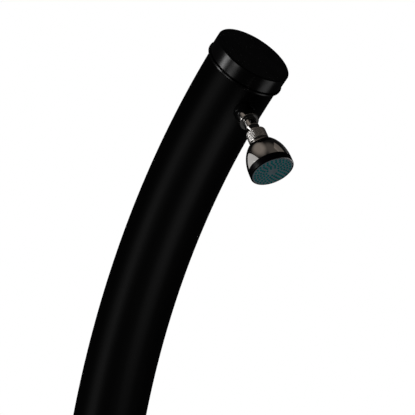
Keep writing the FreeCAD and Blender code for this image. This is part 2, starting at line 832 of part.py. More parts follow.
def head_shell():
    """Bell with the screwed neck for the nut and the spigot for the band."""
    neck = rod(nut_bore - thread_gap, neck_back, bell_height(nut_bore) + cut_margin / 2)
    outside = joined(neck, bell(0), rod(spigot_radius, bell_end - cut_margin, spigot_front))
    inside_top = neck_floor_back + neck_floor
    inside_end = bell_end - bell_wall
    room = bell(bell_wall).common(rod(bell_radius, inside_top, inside_end))
    body = outside.cut(room)
    body = body.cut(rod(spigot_bore, inside_end - cut_margin, spigot_front + cut_margin))
    body = body.cut(rod(neck_bore, neck_back - cut_margin, neck_floor_back))
    return body.cut(rod(neck_outlet, neck_floor_back - cut_margin, bell_middle))


def head_band():
    """Dark ring screwed on the bell's spigot."""
    back = bell_end + band_gap
    return turned([(band_bore, back), (band_radius, back), (band_radius, band_front - band_round),
                   (band_radius - band_round, band_front), (band_front_bore, band_front),
                   (band_front_bore, plate_flange_front), (band_bore, plate_flange_front)])


def nozzle_places():
    """Middle of every nozzle, ring by ring."""
    places = []
    for count, radius in zip(nozzle_ring_counts, nozzle_ring_radii):
        for i in range(count):
            turn = 2 * math.pi * i / count
            places.append((radius * math.cos(turn), radius * math.sin(turn)))
    return places


def drilled(body, radius, low, high):
    """Body with a hole at every nozzle."""
    holes = [rod(radius, low - cut_margin, high + cut_margin, x, y) for x, y in nozzle_places()]
    return body.cut(Part.makeCompound(holes))


def face_plate():
    """Grey plate with a hole for every nozzle."""
    flange = rod(spigot_radius, plate_back, plate_flange_front)
    body = joined(flange, rod(band_front_bore - thread_gap, plate_back, plate_front))
    return drilled(body, nozzle_radius + nozzle_fit, plate_back, plate_front)


def nozzle_mat():
    """Soft sheet whose nozzles stand through the face plate."""
    tip = plate_front + nozzle_proud
    nozzles = []
    for x, y in nozzle_places():
        root = Vector(x, y, plate_front)
        nozzles.append(rod(nozzle_radius, plate_back - mat_thickness / 2, plate_front, x, y))
        nozzles.append(Part.makeCone(nozzle_radius, nozzle_tip_radius, nozzle_proud, root))
    sheet = rod(spigot_bore - thread_gap, mat_back, plate_back)
    return drilled(joined(sheet, *nozzles), nozzle_bore, mat_back, tip)


def spray_backplate():
    """Plate that backs the mat and feeds its nozzles."""
    low = mat_back - backplate_thickness
    return drilled(rod(spigot_bore - thread_gap, low, mat_back), nozzle_tip_radius, low, mat_back)


keep("ball_slip_ring", placed(slip_ring(), head_frame))
keep("ball_seat", placed(ball_seat(), head_frame))
keep("ball_nut", placed(ball_nut(), head_frame))
keep("inlet_screen", placed(inlet_screen(), head_frame))
keep("head_shell", placed(head_shell(), head_frame))
keep("head_band", placed(head_band(), head_frame))
keep("face_seal", placed(ring(spigot_radius, spigot_bore, spigot_front, plate_back), head_frame))
keep("face_plate", placed(face_plate(), head_frame))
keep("nozzle_mat", placed(nozzle_mat(), head_frame))
keep("spray_backplate", placed(spray_backplate(), head_frame))


# ---- mixer ----

ports = [(0.0, mixer_port_spread), (0.0, -mixer_port_spread), (warm_port_offset, 0.0)]
shank_hole = mixer_shank_radius + thread_gap
gasket_outside = tank_radius + mixer_gasket_wall


def mixer_gasket():
    """Rubber sheet that follows the tank behind the mixer."""
    low, high = mixer_height - escutcheon_radius, mixer_height + escutcheon_radius
    sheet = ring(gasket_outside, tank_radius + seat_gap, low, high)
    disc = placed(ring(mixer_gasket_radius, shank_hole, 0, escutcheon_front), mixer_frame)
    return sheet.common(disc)


def mixer_escutcheon():
    """Round plate behind the mixer, hollowed to the tank."""
    low, high = tank_radius / 2, escutcheon_front
    body = turned([(shank_hole, low), (escutcheon_radius, low),
                   (escutcheon_radius, high - escutcheon_chamfer),
                   (escutcheon_radius - escutcheon_chamfer, high), (shank_hole, high)])
    return placed(body, mixer_frame).cut(rod(gasket_outside + seat_gap, 0, bend_start_height))


def mixer_body():
    """Body with the cartridge's bore, and a shank with three hose barbs."""
    outline = [(0, mixer_shank_end), (mixer_shank_radius, mixer_shank_end),
               (mixer_shank_radius, escutcheon_front), (mixer_body_radius, escutcheon_front),
               (mixer_body_radius, mixer_front - mixer_body_chamfer),
               (mixer_body_radius - mixer_body_chamfer, mixer_front), (0, mixer_front)]
    low, high = mixer_shank_end - barb_length, mixer_shank_end + cut_margin
    body = joined(turned(outline), *[rod(barb_radius, low, high, x, y) for x, y in ports])
    body = body.cut(rod(cartridge_radius + cartridge_fit, cartridge_floor, mixer_front + cut_margin))
    body = body.cut(rod(retainer_radius + thread_gap, cartridge_shoulder, mixer_front + cut_margin))
    low, high = mixer_shank_end - barb_length - cut_margin, cartridge_floor + cut_margin
    return body.cut(Part.makeCompound([rod(barb_bore, low, high, x, y) for x, y in ports]))


def mixer_locknut():
    """Nut on the mixer's shank, inside the tank."""
    nut = hex_bar(mixer_nut_flats, mixer_nut_plane - mixer_nut_height, mixer_nut_plane)
    return nut.cut(rod(shank_hole, 0, tank_radius))


def mixer_cartridge():
    """Ceramic-disc cartridge, shown as one housing with a well for the carrier."""
    neck_end = cartridge_shoulder + cartridge_neck_length
    housing = rod(cartridge_radius, cartridge_floor, cartridge_shoulder)
    body = joined(housing, rod(cartridge_neck_radius, cartridge_floor, neck_end))
    return body.cut(rod(cartridge_well_radius, neck_end - cartridge_well_depth, neck_end + cut_margin))


def cartridge_retainer():
    """Screwed ring that holds the cartridge down."""
    front = cartridge_shoulder + retainer_height
    return ring(retainer_radius, cartridge_neck_radius + thread_gap, cartridge_shoulder, front)


def cartridge_shroud():
    """Fixed dome over the cartridge, open at the front for the spindle."""
    dome = ball(shroud_radius, mixer_pivot).cut(ball(shroud_radius - shroud_wall, mixer_pivot))
    dome = dome.cut(rod(2 * shroud_radius, 0, mixer_front))
    return dome.cut(rod(shroud_mouth, mixer_pivot + shroud_wall, mixer_pivot + 2 * shroud_radius))


well_floor = cartridge_shoulder + cartridge_neck_length - cartridge_well_depth
carrier_radius = cartridge_well_radius - run_gap
swing = math.radians(handle_lift)
swing_side = spindle_width / 2 * math.cos(swing) + spindle_tail * math.sin(swing) + body_gap
swing_drop = spindle_tail * math.cos(swing) + spindle_width / 2 * math.sin(swing) + body_gap


def swung(shape, angle):
    """Shape turned about the lever's pivot, in the mixer's own frame."""
    copy = shape.copy()
    copy.rotate(Vector(0, 0, mixer_pivot), Vector(1, 0, 0), angle)
    return copy


def cross_bore(radius, half_length):
    """Bar across the mixer's axis at the lever's pivot."""
    return Part.makeCylinder(radius, 2 * half_length, Vector(-half_length, 0, mixer_pivot), Vector(1, 0, 0))


def spindle_bar(extra, reach):
    """Square bar along the mixer's axis, wider all round by an extra."""
    width = spindle_width + 2 * extra
    return block(width, width, mixer_pivot - spindle_tail, mixer_pivot + reach)


def spindle_carrier():
    """Turning seat of the spindle, slotted for its swing."""
    body = rod(carrier_radius, well_floor + body_gap, mixer_pivot + carrier_height)
    low, high = mixer_pivot - swing_drop, mixer_pivot + spindle_reach
    slot = block(spindle_width + 2 * body_gap, 2 * swing_side, low, high)
    return body.cut(slot).cut(cross_bore(spindle_pin_radius + thread_gap, carrier_radius))


def spindle_pin():
    """Pin that the spindle swings on."""
    return cross_bore(spindle_pin_radius, spindle_pin_length / 2)


def cartridge_spindle():
    """Square spindle with a cross hole for its pin and a thread for the handle's screw."""
    tip = mixer_pivot + spindle_reach
    thread = rod(handle_screw_radius + thread_gap, tip - handle_screw_length, tip + cut_margin)
    bore = cross_bore(spindle_pin_radius + run_gap, spindle_width)
    return spindle_bar(0, spindle_reach).cut(bore).cut(thread)


handle_hollow = shroud_radius + handle_gap
handle_radius = handle_hollow + handle_wall
handle_top = mixer_pivot + handle_radius
handle_screw_seat = mixer_pivot + spindle_reach + body_gap + handle_web
button_plane = handle_screw_seat + handle_screw_head_height + body_gap


def lever_blade():
    """Flat lever hanging from the handle's dome, lofted through oval sections."""
    sections = []
    ovals = zip(lever_shares, lever_aheads, lever_half_widths, lever_half_depths)
    for share, ahead, half_width, half_depth in ovals:
        drop = lever_root + share * (lever_length - lever_root)
        oval = Part.Ellipse(Vector(0, 0, 0), half_width, half_depth).toShape()
        frame = frame_at(Vector(0, -drop, mixer_pivot + ahead), Vector(0, -1, 0), Vector(0, 0, 1))
        sections.append(placed(Part.Wire(oval), frame))
    return Part.makeLoft(sections, True)


def mixer_handle():
    """Dome over the shroud with the lever and the socket for the spindle."""
    dome = joined(ball(handle_radius, mixer_pivot), lever_blade())
    dome = dome.cut(ball(handle_hollow, mixer_pivot))
    behind = rod(2 * handle_radius, mixer_pivot - 2 * handle_radius, mixer_pivot + handle_rim_ahead)
    dome = dome.cut(behind)
    dome = dome.cut(swung(behind, handle_rim_slope))
    boss = rod(handle_boss_radius, mixer_pivot + handle_boss_back, handle_top - handle_wall / 2)
    body = joined(dome, boss)
    body = body.cut(spindle_bar(thread_gap, spindle_reach + body_gap))
    body = body.cut(rod(handle_screw_radius + wall_hole_gap, handle_screw_seat - cut_margin, handle_top))
    head_room = rod(handle_screw_head_radius + thread_gap, handle_screw_seat, handle_top)
    button_room = rod(button_radius + thread_gap, button_plane, handle_top + cut_margin)
    return body.cut(head_room).cut(button_room)


def handle_screw():
    """Screw that holds the handle on the spindle."""
    low = mixer_pivot + spindle_reach - handle_screw_length + body_gap
    shank = rod(handle_screw_radius, low, handle_screw_seat + body_gap)
    head = rod(handle_screw_head_radius, handle_screw_seat, handle_screw_seat + handle_screw_head_height)
    return joined(shank, head)


def index_button():
    """Plain button over the handle's screw."""
    return rod(button_radius, button_plane, button_plane + button_height)


keep("mixer_gasket", mixer_gasket())
keep("mixer_escutcheon", mixer_escutcheon())
keep("mixer_body", placed(mixer_body(), mixer_frame))
keep("mixer_inner_washer",
     inner_washer(mixer_frame, straight_room, mixer_washer_radius, mixer_washer_depth, shank_hole))
keep("mixer_locknut", placed(mixer_locknut(), mixer_frame))
keep("mixer_cartridge", placed(mixer_cartridge(), mixer_frame))
keep("cartridge_retainer", placed(cartridge_retainer(), mixer_frame))
keep("cartridge_shroud", placed(cartridge_shroud(), mixer_frame))
keep("spindle_carrier", placed(spindle_carrier(), mixer_frame))
keep("spindle_pin", placed(spindle_pin(), mixer_frame))
keep("cartridge_spindle", placed(cartridge_spindle(), mixer_frame))
keep("mixer_handle", placed(mixer_handle(), mixer_frame))
keep("handle_screw", placed(handle_screw(), mixer_frame))
keep("index_button", placed(index_button(), mixer_frame))


# ---- hoses ----

def quarter(corner, start_way, end_way):
    """Arc that turns from one direction to another, square to it, round a corner of the route."""
    start = corner - start_way * hose_bend
    end = corner + end_way * hose_bend
    middle = start + end_way * hose_bend
    halfway = middle + (corner - middle).normalize() * hose_bend
    return Part.Arc(start, halfway, end).toShape(), start, end


def hose(edges, start, way):
    """Hose along a smooth route."""
    route = Part.Wire(edges)
    outside = route.makePipeShell([Part.Wire(Part.makeCircle(hose_radius, start, way))], True, False)
    inside = route.makePipeShell([Part.Wire(Part.makeCircle(hose_bore, start, way))], True, False)
    return outside.cut(inside)


back_way = Vector(0, 1, 0)
mixer_hose_start = hose_end_gap - mixer_shank_end


def from_mixer(port, offset, way):
    """First stretch of a hose: straight back from its barb, then a bend up or down."""
    x, up = port
    start = Vector(x, mixer_hose_start, mixer_height + up)
    corner = Vector(x, offset, mixer_height + up)
    arc, bend_start, bend_end = quarter(corner, back_way, way)
    return start, [line(start, bend_start), arc], bend_end


def cold_hose():
    """From the inlet's tee up to the mixer."""
    start, edges, last = from_mixer(ports[1], hose_back_offset, z_up * -1)
    end = Vector(0, hose_back_offset, service_height + tee_radius + hose_end_gap)
    return hose(edges + [line(last, end)], start, back_way)


def warm_hose():
    """From the top of the tank, where the water is warmest, down to the mixer."""
    start, edges, last = from_mixer(ports[2], hose_back_offset, z_up)
    side = Vector(warm_port_offset, 0, 0)
    end_angle = lean_angle - math.degrees(warm_end_below_top / bend_radius)
    arc_points = [bend_point(angle, hose_back_offset) + side for angle in (0.0, end_angle / 2, end_angle)]
    edges += [line(last, arc_points[0]), Part.Arc(*arc_points).toShape()]
    return hose(edges, start, back_way)


def riser_hose():
    """From the mixer up to the shower arm."""
    start, edges, last = from_mixer(ports[0], 0.0, z_up)
    swing = math.degrees(math.asin(hose_bend / (bend_radius - hose_bend)))
    leave = arm_angle - swing
    arc_points = [bend_point(angle) for angle in (0.0, leave / 2, leave)]
    edges += [line(last, arc_points[0]), Part.Arc(*arc_points).toShape()]
    turn_middle = bend_point(leave, -hose_bend)
    meet = bend_middle + bend_out(arm_angle) * ((bend_radius - hose_bend) * math.cos(math.radians(swing)))
    first = (arc_points[2] - turn_middle).normalize()
    second = (meet - turn_middle).normalize()
    halfway = turn_middle + (first + second).normalize() * hose_bend
    end = bend_point(arm_angle, hose_end_gap - fitting_shank_end)
    edges += [Part.Arc(arc_points[2], halfway, meet).toShape(), line(meet, end)]
    return hose(edges, start, back_way)


def hose_clip(low):
    """Clip round a hose, in the frame of its barb."""
    return ring(hose_radius + clip_wall, hose_radius + thread_gap, low, low + clip_width)


def hose_clips():
    """Clips at the mixer, the arm and the tee."""
    mixer_low = mixer_shank_end - hose_end_gap - clip_inset - clip_width
    clips = []
    for x, y in ports:
        clip = hose_clip(mixer_low)
        clip.translate(Vector(x, y, 0))
        clips.append(placed(clip, mixer_frame))
    arm_low = fitting_shank_end - hose_end_gap - clip_inset - clip_width
    clips.append(placed(hose_clip(arm_low), arm_frame))
    tee_low = service_height + tee_radius + hose_end_gap + clip_inset
    tee_clip = hose_clip(tee_low)
    tee_clip.translate(Vector(0, hose_back_offset, 0))
    clips.append(tee_clip)
    return clips


keep("cold_hose", cold_hose())
keep("warm_hose", warm_hose())
keep("riser_hose", riser_hose())
keep("hose_clips", *hose_clips())

os.makedirs("parts", exist_ok=True)
for piece_name, piece_solids in export_list:
    export(piece_name, *piece_solids)
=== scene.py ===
import json
import math
import bpy
import bmesh
from mathutils import Matrix, Vector

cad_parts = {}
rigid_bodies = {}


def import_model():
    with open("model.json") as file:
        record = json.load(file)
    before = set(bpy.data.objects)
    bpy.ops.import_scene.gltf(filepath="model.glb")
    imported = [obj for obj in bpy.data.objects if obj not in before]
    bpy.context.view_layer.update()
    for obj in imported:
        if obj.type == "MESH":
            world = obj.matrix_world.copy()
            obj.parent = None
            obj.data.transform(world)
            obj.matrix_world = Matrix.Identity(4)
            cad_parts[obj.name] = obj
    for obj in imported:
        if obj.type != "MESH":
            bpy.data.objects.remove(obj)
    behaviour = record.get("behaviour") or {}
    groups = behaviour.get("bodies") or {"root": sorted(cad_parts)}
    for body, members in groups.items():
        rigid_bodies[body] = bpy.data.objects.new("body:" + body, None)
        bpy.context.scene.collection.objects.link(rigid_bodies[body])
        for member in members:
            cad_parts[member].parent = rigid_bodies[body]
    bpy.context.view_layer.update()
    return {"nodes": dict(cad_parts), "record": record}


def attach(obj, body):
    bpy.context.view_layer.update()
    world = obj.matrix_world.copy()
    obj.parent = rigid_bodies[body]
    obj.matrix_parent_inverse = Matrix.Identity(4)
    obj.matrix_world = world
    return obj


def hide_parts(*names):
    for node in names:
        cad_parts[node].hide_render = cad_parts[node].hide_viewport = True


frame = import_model()

mm = 0.001
softEdge = 0.3 * mm    # smallest rounding of an edge
slotOf = {part["node"]: part["material_slot"] for part in frame["record"]["subparts"]}
studio = bpy.context.scene
print("frame loaded:", len(frame["nodes"]), "nodes")


# Finishes. Every finish has colour, roughness and relief that vary over the surface.

finishes = {
    "tank_black": {"dark": (0.005, 0.005, 0.0054), "light": (0.011, 0.0108, 0.0114), "patch": 26,
                   "rough": (0.40, 0.46), "smear": 60, "grain": 900, "depth": 0.00001, "specular": 0.3,
                   "along": "unbent", "stretch": (1, 1, 0.04)},
    "cap_black": {"dark": (0.003, 0.003, 0.0032), "light": (0.0065, 0.0062, 0.0066), "patch": 40,
                  "rough": (0.20, 0.28), "smear": 70, "grain": 1200, "depth": 0.000006, "specular": 0.25},
    "foot_black": {"dark": (0.006, 0.006, 0.0065), "light": (0.014, 0.0138, 0.0145), "patch": 30,
                   "rough": (0.5, 0.68), "smear": 90, "grain": 1600, "depth": 0.00018, "specular": 0.4},
    "chrome": {"dark": (0.54, 0.52, 0.50), "light": (0.62, 0.60, 0.58), "patch": 55,
               "rough": (0.03, 0.09), "smear": 120, "grain": 2200, "depth": 0.000004, "metal": 1.0},
    "chromed_plastic": {"dark": (0.50, 0.48, 0.46), "light": (0.60, 0.58, 0.56), "patch": 45,
                        "rough": (0.04, 0.10), "smear": 110, "grain": 1800, "depth": 0.000006, "metal": 1.0},
    "steel": {"dark": (0.42, 0.42, 0.43), "light": (0.58, 0.58, 0.59), "patch": 300,
              "rough": (0.26, 0.4), "smear": 700, "grain": 2600, "depth": 0.00002, "metal": 1.0,
              "stretch": (1, 1, 0.08)},
    "brass": {"dark": (0.52, 0.35, 0.12), "light": (0.72, 0.52, 0.22), "patch": 160,
              "rough": (0.2, 0.36), "smear": 500, "grain": 1500, "depth": 0.00002, "metal": 1.0,
              "stretch": (0.1, 0.1, 1)},
    "band_dark": {"dark": (0.0025, 0.002, 0.003), "light": (0.006, 0.005, 0.007), "patch": 90,
                  "rough": (0.24, 0.34), "smear": 160, "grain": 1500, "depth": 0.00001, "specular": 0.2},
    "face_grey": {"dark": (0.074, 0.100, 0.114), "light": (0.096, 0.131, 0.146), "patch": 120,
                  "rough": (0.42, 0.55), "smear": 240, "grain": 2400, "depth": 0.00004},
    "nozzle_teal": {"dark": (0.0008, 0.075, 0.082), "light": (0.0016, 0.130, 0.137), "patch": 300,
                    "rough": (0.5, 0.65), "smear": 500, "grain": 3000, "depth": 0.00005, "specular": 0.25},
    "seal_black": {"dark": (0.008, 0.008, 0.008), "light": (0.02, 0.02, 0.02), "patch": 120,
                   "rough": (0.62, 0.8), "smear": 300, "grain": 1800, "depth": 0.0001},
    "inner_plastic": {"dark": (0.55, 0.54, 0.50), "light": (0.68, 0.67, 0.64), "patch": 60,
                      "rough": (0.42, 0.55), "smear": 150, "grain": 1400, "depth": 0.00006},
    "hose_white": {"dark": (0.58, 0.58, 0.55), "light": (0.72, 0.72, 0.70), "patch": 40,
                   "rough": (0.3, 0.42), "smear": 90, "grain": 900, "depth": 0.00004},
    "button_grey": {"dark": (0.15, 0.15, 0.16), "light": (0.22, 0.22, 0.23), "patch": 150,
                    "rough": (0.3, 0.4), "smear": 300, "grain": 1500, "depth": 0.00003},
    "floor": {"dark": (0.74, 0.74, 0.73), "light": (0.80, 0.80, 0.79), "patch": 3,
              "rough": (0.7, 0.85), "smear": 8, "grain": 60, "depth": 0.0002},
}


def noiseNode(tree, coordinates, scale, detail):
    noise = tree.nodes.new("ShaderNodeTexNoise")
    noise.inputs["Scale"].default_value = scale
    noise.inputs["Detail"].default_value = detail
    tree.links.new(coordinates, noise.inputs["Vector"])
    return noise.outputs["Fac"]


def surfacePlaces(tree, look):
    if "along" in look:
        source = tree.nodes.new("ShaderNodeAttribute")
        source.attribute_name = look["along"]
        places = source.outputs["Vector"]
    else:
        places = tree.nodes.new("ShaderNodeTexCoord").outputs["Object"]
    mapping = tree.nodes.new("ShaderNodeMapping")
    mapping.inputs["Scale"].default_value = look.get("stretch", (1, 1, 1))
    tree.links.new(places, mapping.inputs["Vector"])
    return mapping.outputs["Vector"]


def makeFinish(name, look):
    material = bpy.data.materials.new(name)
    material.use_nodes = True
    tree = material.node_tree
    shader = tree.nodes["Principled BSDF"]
    places = surfacePlaces(tree, look)
    ramp = tree.nodes.new("ShaderNodeValToRGB")
    ramp.color_ramp.elements[0].position = 0.3
    ramp.color_ramp.elements[1].position = 0.7
    ramp.color_ramp.elements[0].color = look["dark"] + (1,)
    ramp.color_ramp.elements[1].color = look["light"] + (1,)
    tree.links.new(noiseNode(tree, places, look["patch"], 3), ramp.inputs["Fac"])
    tree.links.new(ramp.outputs["Color"], shader.inputs["Base Color"])
    spread = tree.nodes.new("ShaderNodeMapRange")
    spread.inputs["From Min"].default_value = 0.3
    spread.inputs["From Max"].default_value = 0.7
    spread.inputs["To Min"].default_value = look["rough"][0]
    spread.inputs["To Max"].default_value = look["rough"][1]
    tree.links.new(noiseNode(tree, places, look["smear"], 4), spread.inputs["Value"])
    tree.links.new(spread.outputs["Result"], shader.inputs["Roughness"])
    bump = tree.nodes.new("ShaderNodeBump")
    bump.inputs["Distance"].default_value = look["depth"]
    tree.links.new(noiseNode(tree, places, look["grain"], 2), bump.inputs["Height"])
    tree.links.new(bump.outputs["Normal"], shader.inputs["Normal"])
    shader.inputs["Metallic"].default_value = look.get("metal", 0.0)
    shader.inputs["Specular IOR Level"].default_value = look.get("specular", 0.5)
    return material


materials = {name: makeFinish(name, look) for name, look in finishes.items()}
for nodeName, node in frame["nodes"].items():
    node.data.materials.clear()
    node.data.materials.append(materials[slotOf[nodeName]])
print("finishes made:", len(materials))


# Places of the post's parts, in metres from the centre of the foot's underside.

bend = {"start": 1467 * mm, "radius": 867 * mm, "lean": 51.6, "armFromEnd": 63 * mm}
bendMiddle = Vector((0, -bend["radius"], bend["start"]))
armAngle = bend["lean"] - math.degrees(bend["armFromEnd"] / bend["radius"])


def bendOut(angle):
    return Vector((0, math.cos(math.radians(angle)), math.sin(math.radians(angle))))


def bendAlong(angle):
    return Vector((0, -math.sin(math.radians(angle)), math.cos(math.radians(angle))))


def bendPoint(angle, outward=0.0):
    return bendMiddle + bendOut(angle) * (bend["radius"] + outward)


def axisFrame(origin, along, yHint):
    z = Vector(along).normalized()
    x = Vector(yHint).cross(z).normalized()
    return Matrix.Translation(origin) @ Matrix((x, z.cross(x), z)).transposed().to_4x4()


upright = Vector((0, 0, 1))
groundFrame = Matrix.Identity(4)
endFrame = axisFrame(bendPoint(bend["lean"]), bendAlong(bend["lean"]), (1, 0, 0))
armFrame = axisFrame(bendPoint(armAngle), -bendOut(armAngle), (1, 0, 0))


# Mesh helpers. A profile is a list of (radius, height); a third number rounds that corner.

def roundedOutline(corners, steps=6):
    points = []
    for i, corner in enumerate(corners):
        here = Vector(corner[:2])
        if len(corner) == 2:
            points.append(here)
            continue
        before = (Vector(corners[i - 1][:2]) - here).normalized()
        after = (Vector(corners[(i + 1) % len(corners)][:2]) - here).normalized()
        half = before.angle(after) / 2
        middle = here + (before + after).normalized() * (corner[2] / math.sin(half))
        start = here + before * (corner[2] / math.tan(half)) - middle
        end = here + after * (corner[2] / math.tan(half)) - middle
        sweep = start.angle(end)
        for k in range(steps + 1):
            share = k / steps
            arc = start * math.sin((1 - share) * sweep) + end * math.sin(share * sweep)
            points.append(middle + arc / math.sin(sweep))
    return points


def newPiece(name, mesh):
    bmesh.ops.remove_doubles(mesh, verts=mesh.verts, dist=1e-7)
    bmesh.ops.recalc_face_normals(mesh, faces=mesh.faces)
    data = bpy.data.meshes.new(name)
    mesh.to_mesh(data)
    mesh.free()
    piece = bpy.data.objects.new(name, data)
    studio.collection.objects.link(piece)
    return piece


def ringOf(mesh, radius, height, turns):
    if radius < 1e-6:
        return [mesh.verts.new((0, 0, height))] * turns
    step = 2 * math.pi / turns
    return [mesh.verts.new((radius * math.cos(k * step), radius * math.sin(k * step), height)) for k in range(turns)]


def bridgeRings(mesh, rings, closed):
    pairs = list(zip(rings, rings[1:]))
    if closed:
        pairs.append((rings[-1], rings[0]))
    for low, high in pairs:
        for k in range(len(low)):
            corners = [low[k - 1], low[k], high[k], high[k - 1]]
            corners = [vert for i, vert in enumerate(corners) if vert not in corners[:i]]
            if len(corners) > 2:
                mesh.faces.new(corners)


def turnedMesh(corners, turns=96, steps=6):
    # a profile that doesn't start on the axis closes on itself
    mesh = bmesh.new()
    outline = roundedOutline(corners, steps)
    rings = [ringOf(mesh, radius, height, turns) for radius, height in outline]
    bridgeRings(mesh, rings, outline[0][0] > 1e-6)
    return mesh


def turnedPiece(name, corners, place, turns=96, steps=6):
    mesh = turnedMesh(corners, turns, steps)
    mesh.transform(place)
    return newPiece(name, mesh)


def joinMeshes(name, meshes):
    whole = bmesh.new()
    for mesh in meshes:
        data = bpy.data.meshes.new("part")
        mesh.to_mesh(data)
        mesh.free()
        whole.from_mesh(data)
        bpy.data.meshes.remove(data)
    return newPiece(name, whole)


def applied(piece):
    shaped = piece.evaluated_get(bpy.context.evaluated_depsgraph_get())
    data = bpy.data.meshes.new_from_object(shaped)
    piece.modifiers.clear()
    old = piece.data
    piece.data = data
    bpy.data.meshes.remove(old)
    return piece


def combine(piece, other, operation):
    modifier = piece.modifiers.new("shape", "BOOLEAN")
    modifier.operation = operation
    modifier.object = other
    bpy.context.view_layer.update()
    applied(piece)
    bpy.data.objects.remove(other)
    return piece


def melted(piece, voxel, rounds):
    remesh = piece.modifiers.new("melt", "REMESH")
    remesh.mode = "VOXEL"
    remesh.voxel_size = voxel
    smooth = piece.modifiers.new("ease", "SMOOTH")
    smooth.iterations = rounds
    smooth.factor = 0.5
    bpy.context.view_layer.update()
    return applied(piece)


def pin(radius, low, high, place, turns=32):
    mesh = turnedMesh([(0, low), (radius, low), (radius, high), (0, high)], turns)
    mesh.transform(place)
    return mesh


def around(count, start=0.0):
    return [Matrix.Rotation(math.radians(start + 360 * i / count), 4, "Z") for i in range(count)]


def dress(piece, body, slot, *nodes, crease=35):
    piece.data.materials.clear()
    piece.data.materials.append(materials[slot])
    piece.data.polygons.foreach_set("use_smooth", [True] * len(piece.data.polygons))
    piece.data.set_sharp_from_angle(angle=math.radians(crease))
    weighted = piece.modifiers.new("normals", "WEIGHTED_NORMAL")
    weighted.keep_sharp = True
    bpy.context.view_layer.update()
    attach(piece, body)
    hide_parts(*nodes)
    return piece


# Tubes of the tank

tank = {"radius": 60 * mm, "wall": 3.5 * mm, "foot": 10 * mm, "lowerTop": 1018 * mm, "upperFoot": 1022 * mm,
        "turns": 128, "straightStep": 40 * mm, "bendStep": 1.2}


def tankStations(low, high, bent):
    count = max(2, round((high - low) / tank["straightStep"]))
    stations = []
    for i in range(count):
        height = low + (high - low) * i / count
        stations.append((Vector((0, 0, height)), Vector((0, 1, 0)), height))
    if not bent:
        stations.append((Vector((0, 0, high)), Vector((0, 1, 0)), high))
        return stations
    count = round(bend["lean"] / tank["bendStep"])
    for i in range(count + 1):
        angle = bend["lean"] * i / count
        stations.append((bendPoint(angle), bendOut(angle), high + math.radians(angle) * bend["radius"]))
    return stations


def tankTube(name, low, high, bent):
    stations = tankStations(low, high, bent)
    outer, inner = tank["radius"], tank["radius"] - tank["wall"]
    walls = [(station, outer) for station in stations] + [(station, inner) for station in reversed(stations)]
    mesh = bmesh.new()
    unbent = mesh.verts.layers.float_vector.new("unbent")
    rings = []
    for (middle, outward, length), radius in walls:
        ring = []
        for k in range(tank["turns"]):
            turn = 2 * math.pi * k / tank["turns"]
            across = Vector((math.cos(turn) * radius, 0, 0)) + outward * (math.sin(turn) * radius)
            vert = mesh.verts.new(middle + across)
            vert[unbent] = (math.cos(turn) * radius, math.sin(turn) * radius, length)
            ring.append(vert)
        rings.append(ring)
    bridgeRings(mesh, rings, True)
    return newPiece(name, mesh)


dress(tankTube("lowerTank", tank["foot"], tank["lowerTop"], False), "post", "tank_black", "lower_tank")
dress(tankTube("upperTank", tank["upperFoot"], bend["start"], True), "post", "tank_black", "upper_tank")


# Cap on the upper end

cap = {"top": 6 * mm, "seal": 2 * mm, "bore": 60.77 * mm, "skirt": 62.4 * mm, "rim": 2 * mm, "mouth": -24 * mm,
       "bead": 64.4 * mm, "beadTop": -19 * mm, "grooveTop": -17.6 * mm, "groove": 61.7 * mm,
       "mouthSlope": 1.8 * mm, "dish": 0.35 * mm, "dishRadius": 52 * mm, "dishRound": 6 * mm}


def makeCap():
    corners = [(0, cap["seal"]), (cap["bore"], cap["seal"]), (cap["bore"], cap["mouth"]),
               (cap["bead"] - cap["mouthSlope"], cap["mouth"], 0.6 * mm),
               (cap["bead"], cap["mouth"] + cap["mouthSlope"], 1.2 * mm),
               (cap["bead"], cap["beadTop"], 0.9 * mm),
               (cap["groove"], cap["beadTop"], softEdge),
               (cap["groove"], cap["grooveTop"], softEdge),
               (cap["skirt"], cap["grooveTop"], 0.5 * mm),
               (cap["skirt"], cap["top"], cap["rim"]),
               (cap["dishRadius"], cap["top"], cap["dishRound"]),
               (0, cap["top"] - cap["dish"])]
    return turnedPiece("topCap", corners, endFrame, 160, 8)


dress(makeCap(), "post", "cap_black", "top_cap")
print("tank and cap made")


# Black bush and the ball-ended stem of the shower arm

arm = {"tank": 60 * mm, "bushRadius": 15.9 * mm, "bushStep": 5 * mm, "bushTop": 14.9 * mm, "bushHeight": 14 * mm,
       "bushRoot": 3 * mm, "bushRound": 2.5 * mm, "bushHole": 10.45 * mm, "collar": 15.1 * mm, "collarBack": 14.3 * mm,
       "collarEnd": 28 * mm, "stem": 10.4 * mm, "stemEnd": 45.5 * mm, "neck": 6.4 * mm, "neckStart": 50.5 * mm,
       "ball": 11.5 * mm, "ballHeight": 63.5 * mm, "ballSteps": 24, "bore": 3.6 * mm, "socket": 10.48 * mm,
       "socketEnd": 26.3 * mm}


def makeBush():
    base = arm["tank"]
    corners = [(arm["bushHole"], base - arm["bushRoot"]), (arm["bushRadius"], base - arm["bushRoot"]),
               (arm["bushRadius"], base + arm["bushStep"], 0.9 * mm),
               (arm["bushTop"], base + arm["bushStep"], 0.4 * mm),
               (arm["bushTop"], base + arm["bushHeight"], arm["bushRound"]),
               (arm["bushHole"], base + arm["bushHeight"])]
    return turnedPiece("armBush", corners, armFrame)


